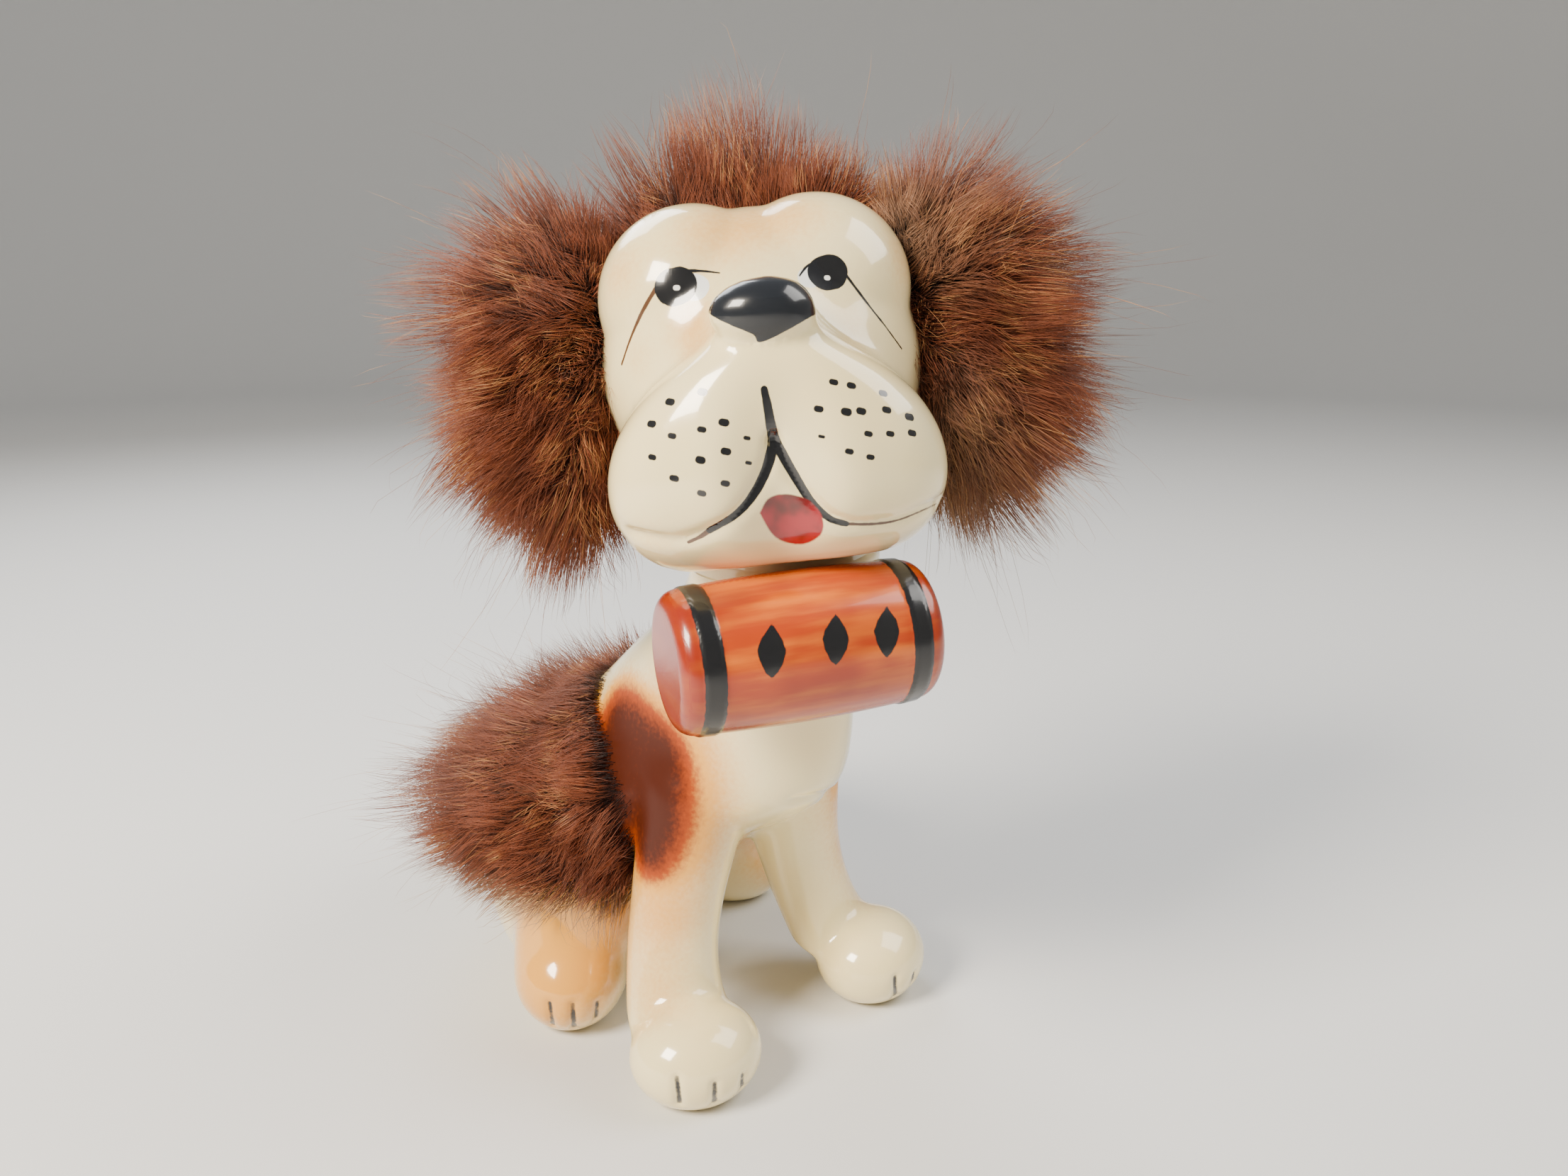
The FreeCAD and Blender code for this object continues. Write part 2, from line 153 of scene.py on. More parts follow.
class Tone(Enum):
    """The colours of glaze, paint, hide and fur, as linear light."""

    CREAM = (0.97, 0.82, 0.45, 1.0)
    WARM_CREAM = (0.95, 0.74, 0.33, 1.0)
    TAN = (0.83, 0.38, 0.05, 1.0)
    RED_BROWN = (0.34, 0.050, 0.005, 1.0)
    DARK_BROWN = (0.060, 0.011, 0.004, 1.0)
    INK = (0.008, 0.008, 0.009, 1.0)
    NOSE = (0.012, 0.014, 0.018, 1.0)
    BROWN_INK = (0.10, 0.045, 0.02, 1.0)
    WHITE = (0.85, 0.86, 0.82, 1.0)
    TONGUE_DARK = (0.11, 0.009, 0.006, 1.0)
    TONGUE = (0.36, 0.004, 0.011, 1.0)
    KEG_ORANGE = (0.48, 0.052, 0.002, 1.0)
    KEG_YELLOW = (0.76, 0.17, 0.006, 1.0)
    # Also laid under the keg as painted shade.
    KEG_RED = (0.24, 0.013, 0.002, 1.0)
    # Painted shade at the hairs' roots.
    FUR_ROOT = (0.024, 0.006, 0.003, 1.0)
    FUR_BODY = (0.185, 0.042, 0.012, 1.0)
    FUR_TIP = (0.43, 0.130, 0.036, 1.0)
    FUR_GOLD = (0.52, 0.25, 0.09, 1.0)
    FUR_PALE = (0.46, 0.32, 0.19, 1.0)
    HIDE = (0.15, 0.070, 0.032, 1.0)
    GLUE = (0.60, 0.46, 0.24, 1.0)
    FLOOR = (0.72, 0.72, 0.71, 1.0)
    SKY = (0.82, 0.86, 0.92, 1.0)


class Side(Enum):
    """The dog's own sides, along +X and -X."""

    LEFT = 1
    RIGHT = -1


class NodeMaker:
    """Adds nodes to a tree and joins them, so that each tree reads as a short recipe."""

    def __init__(self, tree: bpy.types.NodeTree) -> None:
        """Takes the tree to add to."""
        self.tree = tree

    def join(self, value: object, socket: bpy.types.NodeSocket) -> None:
        """Joins a socket to an input, or sets its plain value.

        Args:
            value: Another node's output, a tone or a plain value.
            socket: The input.
        """
        if isinstance(value, bpy.types.NodeSocket):
            self.tree.links.new(value, socket)
        else:
            socket.default_value = value.value if isinstance(value, Tone) else value

    def add(self, kind: str, inputs: dict | None = None, **settings: object) -> bpy.types.Node:
        """Adds one node.

        Args:
            kind: The node's type.
            inputs: Values or sockets, by the name or number of the input.
            settings: Properties of the node.

        Returns:
            The node.
        """
        node = self.tree.nodes.new(kind)
        for name, value in settings.items():
            setattr(node, name, value)
        for key, value in (inputs or {}).items():
            self.join(value, node.inputs[key])
        return node

    def maths(self, operation: str, first: object, second: object) -> bpy.types.NodeSocket:
        """Returns the result of one sum on two numbers."""
        return self.add("ShaderNodeMath", {0: first, 1: second}, operation=operation).outputs[0]


@dataclass(frozen=True)
class Grain:
    """Noise on a piece's own coordinates, and the range that it is brought to."""

    scale: float
    low: float
    high: float
    start: float = 0.0
    end: float = 1.0
    detail: float = 2.0


class Recipe(NodeMaker):
    """A material under construction, round one Principled shader."""

    wobble_scale = 900.0
    wobble_detail = 3.0

    def __init__(self, name: str, **constants: float) -> None:
        """Starts the material.

        Args:
            name: The material's name.
            constants: Plain values of the shader's sockets, with _ for each space.
        """
        self.material = bpy.data.materials.new(name)
        self.material.use_nodes = True
        super().__init__(self.material.node_tree)
        self.shader = self.tree.nodes["Principled BSDF"]
        for key, value in constants.items():
            self.feed(key.replace("_", " "), value)

    def feed(self, socket: str, value: object) -> None:
        """Joins a value to one of the shader's sockets."""
        self.join(value, self.shader.inputs[socket])

    def attribute(self, name: str) -> bpy.types.NodeSocket:
        """Returns the value of one of the piece's own attributes."""
        return self.add("ShaderNodeAttribute", attribute_name=name).outputs["Fac"]

    def noise(self, scale: float, detail: float = 2.0) -> bpy.types.NodeSocket:
        """Makes noise on the piece's own coordinates.

        Args:
            scale: How fine the noise is.
            detail: How many finer layers it has.

        Returns:
            The noise.
        """
        inputs = {"Vector": self.add("ShaderNodeTexCoord").outputs["Object"]}
        inputs |= {"Scale": scale, "Detail": detail}
        return self.add("ShaderNodeTexNoise", inputs).outputs[0]

    def ranged(
        self, value: object, low: float, high: float, start: float = 0.0, end: float = 1.0
    ) -> bpy.types.NodeSocket:
        """Brings a value from one range to another, smoothly and clamped.

        Args:
            value: The value.
            low: Where the first range begins.
            high: Where the first range ends.
            start: The result at low.
            end: The result at high.

        Returns:
            The new value.
        """
        names = {"Value": value, "From Min": low, "From Max": high, "To Min": start, "To Max": end}
        return self.add("ShaderNodeMapRange", names, interpolation_type="SMOOTHSTEP").outputs[0]

    def grained(self, grain: Grain) -> bpy.types.NodeSocket:
        """Returns a grain's value."""
        source = self.noise(grain.scale, grain.detail)
        return self.ranged(source, grain.low, grain.high, grain.start, grain.end)

    def wavering(self, scale: float, size: float, detail: float = 2.0) -> bpy.types.NodeSocket:
        """Returns noise of a given size about zero."""
        centred = self.maths("SUBTRACT", self.noise(scale, detail), 0.5)
        return self.maths("MULTIPLY", centred, size)

    def mixed(self, share: object, first: object, second: object) -> bpy.types.NodeSocket:
        """Returns a colour between two others."""
        inputs = {0: share, 6: first, 7: second}
        return self.add("ShaderNodeMix", inputs, data_type="RGBA").outputs[2]

    def inside(self, name: str, edge: float, wobble: float = 0.0) -> bpy.types.NodeSocket:
        """Finds where a painted shape lies.

        Args:
            name: The attribute that holds the distance from the shape's edge, in metres.
            edge: Half the width of the soft edge.
            wobble: How far a hand-painted edge strays.

        Returns:
            1 within the shape and 0 outside it.
        """
        distance = self.attribute(name)
        if wobble:
            stray = self.wavering(self.wobble_scale, wobble, self.wobble_detail)
            distance = self.maths("ADD", distance, stray)
        return self.ranged(distance, -edge, edge, 1.0, 0.0)

    def bumped(self, height: bpy.types.NodeSocket, strength: float, depth: float) -> None:
        """Joins a height to the shader's normal."""
        inputs = {"Height": height, "Strength": strength, "Distance": depth}
        self.feed("Normal", self.add("ShaderNodeBump", inputs).outputs[0])


@dataclass(frozen=True)
class GlazeFinish:
    """Cream glaze with airbrushed tan and brown, and brushed black, under a glossy coat."""

    name: str = "painted_glaze"
    roughness: float = 0.16
    coat: float = 0.75
    coat_roughness: float = 0.035
    mottle: Grain = Grain(60.0, 0.35, 0.70, end=0.35)
    speckle_scale: float = 1500.0
    speckle: float = 0.25
    soft_edge: float = 0.07 * MM
    wobble: float = 0.16 * MM
    sprayed: tuple[tuple[str, float, float, Tone], ...] = (
        ("tan", 0.05, 0.95, Tone.TAN),
        ("brown", 0.08, 0.42, Tone.TAN),
        ("brown", 0.34, 0.68, Tone.RED_BROWN),
        ("brown", 0.62, 0.95, Tone.DARK_BROWN),
    )
    brushed: tuple[tuple[str, Tone], ...] = (
        ("eye_white", Tone.WHITE),
        ("brown_ink", Tone.BROWN_INK),
        ("ink", Tone.INK),
        ("nose", Tone.NOSE),
    )
    tongue_patches: Grain = Grain(220.0, 0.40, 0.62)
    nose_dullness: float = 0.35
    dull_range: tuple[float, float] = (0.1, 0.7)
    dull_values: tuple[tuple[str, float], ...] = (
        ("Coat Weight", 0.03),
        ("Roughness", 0.36),
        ("Specular IOR Level", 0.2),
    )
    ripple_scale: float = 260.0
    ripple: float = 0.12
    ripple_depth: float = 0.15 * MM

    def painted(self, recipe: Recipe) -> bpy.types.NodeSocket:
        """Lays the glaze, the airbrushed shades and the brushed shapes over each other.

        Args:
            recipe: The material under construction.

        Returns:
            The colour.
        """
        colour = recipe.mixed(recipe.grained(self.mottle), Tone.CREAM, Tone.WARM_CREAM)
        speckle = recipe.wavering(self.speckle_scale, self.speckle)
        for attribute, low, high, tone in self.sprayed:
            spray = recipe.maths("ADD", recipe.attribute(attribute), speckle)
            colour = recipe.mixed(recipe.ranged(spray, low, high), colour, tone)
        for attribute, tone in self.brushed:
            shape = recipe.inside(attribute, self.soft_edge, self.wobble)
            colour = recipe.mixed(shape, colour, tone)
        red = recipe.mixed(recipe.grained(self.tongue_patches), Tone.TONGUE_DARK, Tone.TONGUE)
        colour = recipe.mixed(recipe.inside("tongue", 2 * self.soft_edge, self.wobble), colour, red)
        return recipe.mixed(recipe.inside("glint", self.soft_edge), colour, Tone.WHITE)

    def make(self) -> bpy.types.Material:
        """Makes the material, duller where the brown and the nose's black are thick.

        Returns:
            The material.
        """
        recipe = Recipe(
            self.name,
            Roughness=self.roughness,
            Coat_Weight=self.coat,
            Coat_Roughness=self.coat_roughness,
        )
        recipe.feed("Base Color", self.painted(recipe))
        nose = recipe.maths("MULTIPLY", recipe.inside("nose", self.soft_edge), self.nose_dullness)
        thick = recipe.maths("MAXIMUM", recipe.attribute("brown"), nose)
        for socket, dull in self.dull_values:
            glossy = recipe.shader.inputs[socket].default_value
            recipe.feed(socket, recipe.ranged(thick, *self.dull_range, glossy, dull))
        recipe.bumped(recipe.noise(self.ripple_scale), self.ripple, self.ripple_depth)
        return recipe.material


@dataclass(frozen=True)
class KegFinish:
    """Orange glaze brushed along the staves, redder at the ends and darker red underneath as
    painted shade, with black hoops and daubs.
    """

    name: str = "keg_glaze"
    roughness: float = 0.24
    coat: float = 0.35
    coat_roughness: float = 0.035
    soft_edge: float = 0.09 * MM
    wobble: float = 0.35 * MM
    streak_scale: float = 420.0
    streak_detail: float = 4.0
    streak_stretch: Triple = (1.0, 0.12, 1.0)
    streak_range: tuple[float, float] = (0.38, 0.68)
    patches: Grain = Grain(70.0, 0.42, 0.70, end=0.7)
    relief: float = 0.12
    relief_depth: float = 0.2 * MM

    def streaks(self, recipe: Recipe) -> bpy.types.NodeSocket:
        """Makes the brush's streaks along the staves.

        Args:
            recipe: The material under construction.

        Returns:
            The streaks' height.
        """
        inputs = {0: recipe.attribute("around"), 1: recipe.attribute("along")}
        place = recipe.add("ShaderNodeCombineXYZ", inputs).outputs[0]
        inputs = {"Vector": place, "Scale": self.streak_stretch}
        stretched = recipe.add("ShaderNodeMapping", inputs).outputs[0]
        inputs = {"Vector": stretched, "Scale": self.streak_scale, "Detail": self.streak_detail}
        return recipe.add("ShaderNodeTexNoise", inputs).outputs[0]

    def make(self) -> bpy.types.Material:
        """Makes the material.

        Returns:
            The material.
        """
        recipe = Recipe(
            self.name,
            Roughness=self.roughness,
            Coat_Weight=self.coat,
            Coat_Roughness=self.coat_roughness,
        )
        streaks = self.streaks(recipe)
        brushed = recipe.ranged(streaks, *self.streak_range)
        colour = recipe.mixed(brushed, Tone.KEG_ORANGE, Tone.KEG_YELLOW)
        colour = recipe.mixed(recipe.grained(self.patches), colour, Tone.KEG_RED)
        # Redder at the ends, and darker red underneath as painted shade.
        colour = recipe.mixed(recipe.attribute("red"), colour, Tone.KEG_RED)
        black = recipe.inside("ink", self.soft_edge, self.wobble)
        recipe.feed("Base Color", recipe.mixed(black, colour, Tone.INK))
        recipe.bumped(streaks, self.relief, self.relief_depth)
        return recipe.material


@dataclass(frozen=True)
class FurFinish:
    """Dyed fur: darkened at the root with painted shade, redder along the hair and golden at some
    tips.
    """

    name: str = "dyed_fur"
    roughness: float = 0.52
    sheen: float = 0.08
    specular: float = 0.35
    patches: Grain = Grain(130.0, 0.32, 0.68, 0.25, 1.35)
    body_range: tuple[float, float] = (0.05, 0.6)
    tip_range: tuple[float, float] = (0.3, 0.9)
    gold_range: tuple[float, float] = (0.82, 0.97)

    def make(self) -> bpy.types.Material:
        """Makes the material.

        Returns:
            The material.
        """
        recipe = Recipe(
            self.name,
            Roughness=self.roughness,
            Sheen_Weight=self.sheen,
            Specular_IOR_Level=self.specular,
        )
        along = recipe.attribute("along")
        tint = recipe.maths("MULTIPLY", recipe.attribute("tint"), recipe.grained(self.patches))
        body = recipe.ranged(along, *self.body_range)
        tip = recipe.ranged(recipe.maths("MULTIPLY", along, tint), *self.tip_range)
        outer = recipe.ranged(along, *self.tip_range)
        golden = recipe.maths("MULTIPLY", recipe.ranged(tint, *self.gold_range), outer)
        # Painted shade: each hair darkens towards its root.
        colour = recipe.mixed(body, Tone.FUR_ROOT, Tone.FUR_BODY)
        colour = recipe.mixed(tip, colour, Tone.FUR_TIP)
        colour = recipe.mixed(golden, colour, Tone.FUR_GOLD)
        recipe.feed("Base Color", recipe.mixed(recipe.attribute("pale"), colour, Tone.FUR_PALE))
        return recipe.material


@dataclass(frozen=True)
class PlainFinish:
    """A finish of two close tones, for what mostly lies hidden: hide, glue and the floor."""

    name: str
    tone: Tone
    second: Tone
    roughness: float
    scale: float
    depth: float
    detail: float = 5.0
    mix_range: tuple[float, float] = (0.35, 0.65)
    most: float = 0.5
    relief: float = 0.35

    def make(self) -> bpy.types.Material:
        """Makes the material.

        Returns:
            The material.
        """
        recipe = Recipe(self.name, Roughness=self.roughness)
        grain = recipe.noise(self.scale, self.detail)
        share = recipe.ranged(grain, *self.mix_range, 0.0, self.most)
        recipe.feed("Base Color", recipe.mixed(share, self.tone, self.second))
        recipe.bumped(grain, self.relief, self.depth)
        return recipe.material


@dataclass(frozen=True)
class Stroke:
    """One pull of a brush or a modelling tool along pixels of the photograph."""

    path: Path
    width: float
    end_width: float = 0.0

    def half_widths(self, count: int) -> np.ndarray:
        """Returns half the stroke's width at evenly spaced points along it."""
        return np.linspace(self.width / 2, (self.end_width or self.width) / 2, count)


@dataclass(frozen=True)
class Spot:
    """A soft airbrushed spot."""

    at: Pixel
    radius: float
    strength: float = 1.0


def strokes(*rows: tuple) -> tuple[Stroke, ...]:
    """Returns strokes from rows of a path, a width and perhaps an end width in millimetres."""
    return tuple(Stroke(path, *(width * MM for width in widths)) for path, *widths in rows)


def spots(*rows: tuple[float, ...]) -> tuple[Spot, ...]:
    """Returns spots from rows of column, row, radius in millimetres and perhaps strength."""
    return tuple(Spot((x, y), radius * MM, *strength) for x, y, radius, *strength in rows)


def smooth_path(path: Path, steps: int = 6) -> list[Pixel]:
    """Rounds a path of pixels.

    Args:
        path: The pixels that it runs through.
        steps: How many parts each stretch is cut into.

    Returns:
        The pixels of the rounded path.
    """
    if len(path) < 3:
        start, end = Vector(path[0]), Vector(path[-1])
        return [tuple(start.lerp(end, step / steps)) for step in range(steps + 1)]
    points = [Vector(path[0]), *map(Vector, path), Vector(path[-1])]
    rounded = []
    for before, start, end, after in zip(points, points[1:], points[2:], points[3:]):
        for step in range(steps):
            t = step / steps
            drift = (end - before) * t + (2 * before - 5 * start + 4 * end - after) * t**2
            curl = (3 * start - 3 * end + after - before) * t**3
            rounded.append(tuple(start + (drift + curl) / 2))
    return [*rounded, path[-1]]


def rounded_outline(corners: Path, steps: int = 6) -> list[Pixel]:
    """Returns a closed outline through some corners, rounded."""
    return smooth_path(corners + corners[:1], steps)


def polygon_distance(points: np.ndarray, corners: list[Pixel]) -> np.ndarray:
    """Measures how far points lie outside a closed outline, less than zero inside it.

    Args:
        points: One pixel on each row.
        corners: The outline's corners.

    Returns:
        One distance, in pixels, for each point.
    """
    nearest = np.full(len(points), np.inf)
    within = np.zeros(len(points), bool)
    for start, end in zip(corners, [*corners[1:], corners[0]]):
        start, end = np.array(start), np.array(end)
        side = end - start
        share = np.clip((points - start) @ side / max(side @ side, TINY), 0, 1)
        away = np.linalg.norm(points - start - share[:, None] * side, axis=1)
        nearest = np.minimum(nearest, away)
        crosses = (start[1] > points[:, 1]) != (end[1] > points[:, 1])
        height = np.where(side[1] == 0, 1, side[1])
        within ^= crosses & (points[:, 0] < start[0] + (points[:, 1] - start[1]) * side[0] / height)
    return np.where(within, -nearest, nearest)


def faded(distance: np.ndarray, run: float) -> np.ndarray:
    """Returns how far distances have come along a run, from 0 to 1."""
    return np.clip(distance / run, 0, 1)


def uneven(points: np.ndarray, scale: float, shift: float = 0.0) -> np.ndarray:
    """Returns smooth noise at points, from about -1 to 1."""
    aside = Vector((shift, 0, 0))
    return np.array([noise.noise(Vector(point) * scale + aside) for point in points])


def unit_rows(vectors: np.ndarray) -> np.ndarray:
    """Returns vectors, one on each row, at the length of one."""
    return vectors / np.linalg.norm(vectors, axis=1, keepdims=True)


def coordinates(mesh: bpy.types.Mesh, kind: str = "co") -> np.ndarray:
    """Reads a vector of every vertex.

    Args:
        mesh: The mesh.
        kind: "co" for the places or "normal" for the normals.

    Returns:
        One vector on each row.
    """
    values = np.empty(len(mesh.vertices) * 3)
    mesh.vertices.foreach_get(kind, values)
    return values.reshape(-1, 3)


def move_vertices(mesh: bpy.types.Mesh, points: np.ndarray) -> None:
    """Puts every vertex in a new place."""
    mesh.vertices.foreach_set("co", points.ravel())
    mesh.update()


def store(mesh: bpy.types.Mesh, name: str, values: np.ndarray) -> None:
    """Stores one number or one vector for each vertex.

    Args:
        mesh: The mesh.
        name: The attribute's name.
        values: The numbers, or one vector on each row.
    """
    kind, key = ("FLOAT", "value") if values.ndim == 1 else ("FLOAT_VECTOR", "vector")
    attribute = mesh.attributes.new(name, kind, "POINT")
    attribute.data.foreach_set(key, values.astype(np.float32).ravel())


def in_scene(name: str, data: bpy.types.ID) -> bpy.types.Object:
    """Puts some data in the scene.

    Args:
        name: The object's name.
        data: Its mesh, light or camera.

    Returns:
        The object.
    """
    thing = bpy.data.objects.new(name, data)
    bpy.context.scene.collection.objects.link(thing)
    return thing


def as_mesh(shape: bmesh.types.BMesh, name: str) -> bpy.types.Mesh:
    """Turns a shape under construction into a mesh.

    Args:
        shape: The shape, which is freed.
        name: The mesh's name.

    Returns:
        The mesh.
    """
    mesh = bpy.data.meshes.new(name)
    shape.to_mesh(mesh)
    shape.free()
    return mesh


def circle(
    shape: bmesh.types.BMesh, out: float, z: float, sides: int, middle: Pixel = (0.0, 0.0)
) -> list[bmesh.types.BMVert]:
    """Adds a level ring of vertices to a shape.

    Args:
        shape: The shape under construction.
        out: The ring's radius.
        z: Its height.
        sides: How many vertices it has.
        middle: Its middle, in x and y.

    Returns:
        The vertices.
    """
    x, y = middle
    turns = [math.tau * side / sides for side in range(sides)]
    return [shape.verts.new((x + out * math.cos(t), y + out * math.sin(t), z)) for t in turns]


def join_rings(shape: bmesh.types.BMesh, rings: Sequence[list[bmesh.types.BMVert]]) -> None:
    """Fills the faces between each ring of vertices and the next.

    Args:
        shape: The shape under construction.
        rings: The rings, with the same number of vertices in each.
    """
    for low, high in zip(rings, rings[1:]):
        for side in range(len(low)):
            beside = (side + 1) % len(low)
            shape.faces.new((low[side], low[beside], high[beside], high[side]))


def merged_copy(node: str) -> bpy.types.Mesh:
    """Copies a CAD node's mesh and joins its loose triangles.

    Args:
        node: The node's name.

    Returns:
        The copy.
    """
    copied = bmesh.new()
    copied.from_mesh(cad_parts[node].data)
    bmesh.ops.remove_doubles(copied, verts=copied.verts, dist=MM * MM)
    return as_mesh(copied, node)


def evaluated(holder: bpy.types.Object) -> bpy.types.Mesh:
    """Works out an object's modifiers and removes the object.

    Args:
        holder: The object.

    Returns:
        The plain mesh that the modifiers make.
    """
    graph = bpy.context.evaluated_depsgraph_get()
    shown = holder.evaluated_get(graph)
    mesh = bpy.data.meshes.new_from_object(shown, preserve_all_data_layers=True, depsgraph=graph)
    bpy.data.objects.remove(holder)
    return mesh


def softened(mesh: bpy.types.Mesh, voxel: float, rounds: int) -> bpy.types.Mesh:
    """Makes an even mesh of a solid and rounds its creases, as slip and glaze do.

    Args:
        mesh: The solid.
        voxel: The size of the new faces.
        rounds: How many times the surface is smoothed.

    Returns:
        The new mesh.
    """
    holder = in_scene("holder", mesh)
    remesh = holder.modifiers.new("even", "REMESH")
    remesh.mode = "VOXEL"
    remesh.voxel_size = voxel
    smooth = holder.modifiers.new("round", "SMOOTH")
    smooth.factor = 0.5
    smooth.iterations = rounds
    return evaluated(holder)


def finished(
    name: str, mesh: bpy.types.Mesh, material: bpy.types.Material, slot: str, *nodes: str
) -> None:
    """Makes a mesh into a finished piece.

    Args:
        name: The piece's name.
        mesh: Its mesh, with its place in it.
        material: Its finish.
        slot: The record's slot for that finish; not used.
        nodes: The CAD nodes that it stands for.
    """
    mesh.name = name
    mesh.materials.clear()
    mesh.materials.append(material)
    mesh.shade_smooth()
    piece = in_scene(name, mesh)
    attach(piece, "root")
    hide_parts(*nodes)
    LOG.info("%s: %d vertices", name, len(mesh.vertices))


class Skin:
    """The surface of a piece while it is modelled and painted."""

    ease_most = 0.6
    ease_least = 0.01

    def __init__(self, mesh: bpy.types.Mesh) -> None:
        """Takes the piece's mesh, with its place in it."""
        self.mesh = mesh
        self.refresh()

    def refresh(self) -> None:
        """Reads the surface again after a change."""
        self.points = coordinates(self.mesh)
        self.normals = coordinates(self.mesh, "normal")
        polygons = [tuple(polygon.vertices) for polygon in self.mesh.polygons]
        self.tree = BVHTree.FromPolygons([Vector(point) for point in self.points], polygons)

    def move(self, points: np.ndarray) -> None:
        """Moves the surface's vertices."""
        move_vertices(self.mesh, points)
        self.refresh()

    def hit(self, pixel: Pixel) -> Vector | None:
        """Returns the point of the surface seen at a pixel, if there is one."""
        return self.tree.ray_cast(*VIEW.ray(pixel))[0]

    def trace(self, path: Path) -> np.ndarray:
        """Returns the points of the surface under a path of pixels, rounded."""
        found = [self.hit(pixel) for pixel in smooth_path(path)]
        return np.array([point for point in found if point is not None])

    def distance(self, line: np.ndarray, half_widths: np.ndarray | None = None) -> np.ndarray:
        """Measures each vertex's distance from a line on the surface.

        Args:
            line: The line's points.
            half_widths: Half the line's width at each point.

        Returns:
            The distances from the line's edge, less than zero inside it.
        """
        half = np.zeros(len(line)) if half_widths is None else half_widths
        nearest = np.linalg.norm(self.points - line[0], axis=1) - half[0]
        for start, end, first, last in zip(line, line[1:], half, half[1:]):
            side = end - start
            share = np.clip((self.points - start) @ side / max(side @ side, TINY), 0, 1)
            away = np.linalg.norm(self.points - start - share[:, None] * side, axis=1)
            nearest = np.minimum(nearest, away - first - share * (last - first))
        return nearest

    def refine(self, lines: list[np.ndarray], margin: float, rounds: int = 2) -> None:
        """Cuts the faces near lines into finer ones.

        Args:
            lines: Lines on the surface.
            margin: How far from a line a face is still cut.
            rounds: How many times the faces are cut in half.
        """
        for step in range(rounds):
            near = np.min([self.distance(line) for line in lines], axis=0)
            close = near < margin / (1 + step / 2)
            shape = bmesh.new()
            shape.from_mesh(self.mesh)
            edges = [edge for edge in shape.edges if any(close[v.index] for v in edge.verts)]
            bmesh.ops.subdivide_edges(shape, edges=edges, cuts=1, use_grid_fill=True)
            wide = [face for face in shape.faces if len(face.verts) > 4]
            bmesh.ops.triangulate(shape, faces=wide)
            shape.to_mesh(self.mesh)
            shape.free()
            self.refresh()

    def carve(self, line: np.ndarray, depth: float, width: float) -> None:
        """Presses a rounded groove into the surface along a line.

        Args:
            line: The line's points.
            depth: How deep the groove is.
            width: The distance over which it fades.
        """
        share = np.exp(-((self.distance(line) / width) ** 2))
        self.move(self.points - self.normals * (depth * share)[:, None])

    def ease(self, places: list[tuple[np.ndarray, float]], rounds: int) -> None:
        """Smooths the surface about some places, where the clay runs on without a step.

        Args:
            places: Each place and the distance over which the smoothing fades.
            rounds: How many times the surface is smoothed.
        """
        weight = np.zeros(len(self.points))
        for place, radius in places:
            away = np.linalg.norm(self.points - place, axis=1)
            weight = np.maximum(weight, np.exp(-((away / radius) ** 4)))
        edges = np.empty(len(self.mesh.edges) * 2, np.int64)
        self.mesh.edges.foreach_get("vertices", edges)
        first, second = edges.reshape(-1, 2).T
        kept = np.maximum(weight[first], weight[second]) > self.ease_least
        first, second = first[kept], second[kept]
        ends, others = np.concatenate([first, second]), np.concatenate([second, first])
        count = np.bincount(ends, minlength=len(weight))[:, None]
        points = self.points
        for _ in range(rounds):
            sums = [np.bincount(ends, points[others, axis], len(weight)) for axis in range(3)]
            mean = np.where(count > 0, np.stack(sums, 1) / np.maximum(count, 1), points)
            points = points + self.ease_most * weight[:, None] * (mean - points)
        self.move(points)

    def write(self, name: str, values: np.ndarray | float) -> None:
        """Stores one value for each vertex, or the same value for all."""
        store(self.mesh, name, np.broadcast_to(values, len(self.points)))

    def leave_bare(self, *names: str) -> None:
        """Stores that no paint of some kinds lies on the surface."""
        for name in names:
            self.write(name, BARE)

    def paint(self, name: str, pulls: tuple[Stroke, ...]) -> None:
        """Stores the distance from the nearest of several strokes.

        Args:
            name: The attribute's name.
            pulls: The strokes.
        """
        nearest = np.full(len(self.points), BARE)
        for pull in pulls:
            line = self.trace(pull.path)
            if len(line):
                nearest = np.minimum(nearest, self.distance(line, pull.half_widths(len(line))))
        self.write(name, nearest)

    def middle_of(self, outline: list[Pixel]) -> Vector:
        """Returns the point of the surface seen in the middle of an outline."""
        return self.hit(tuple(np.mean(outline, axis=0)))

    def outline_distance(self, outline: list[Pixel]) -> np.ndarray:
        """Measures how far each vertex is seen outside an outline, in metres on the surface."""
        depth = (self.middle_of(outline) - Vector(VIEW.at)).length
        return polygon_distance(VIEW.pixels(self.points), outline) * depth / VIEW.focal()

    def paint_outline(self, name: str, outline: list[Pixel], reach: float) -> None:
        """Stores the distance from an outline that is filled in.

        Args:
            name: The attribute's name.
            outline: The outline's pixels.
            reach: How far from its middle the paint may lie.
        """
        away = np.linalg.norm(self.points - np.array(self.middle_of(outline)), axis=1)
        self.write(name, np.where(away < reach, self.outline_distance(outline), BARE))

    def spray(
        self,
        name: str,
        soft: tuple[Spot, ...],
        sides: Sequence[Side],
        first: np.ndarray | float = 0.0,
    ) -> None:
        """Stores how much airbrushed colour each vertex has.

        Args:
            name: The attribute's name.
            soft: The soft spots, which are seen at their own pixels.
            sides: LEFT for where each spot is seen, and RIGHT for its mirror image.
            first: How much colour each vertex has before the spots.
        """
        clear = np.ones(len(self.points)) - first
        for spot in soft:
            middle = self.hit(spot.at)
            for side in sides if middle else ():
                place = np.array((middle.x * side.value, middle.y, middle.z))
                away = np.linalg.norm(self.points - place, axis=1)
                clear *= 1 - spot.strength * np.exp(-((away / spot.radius) ** 2))
        self.write(name, 1 - clear)


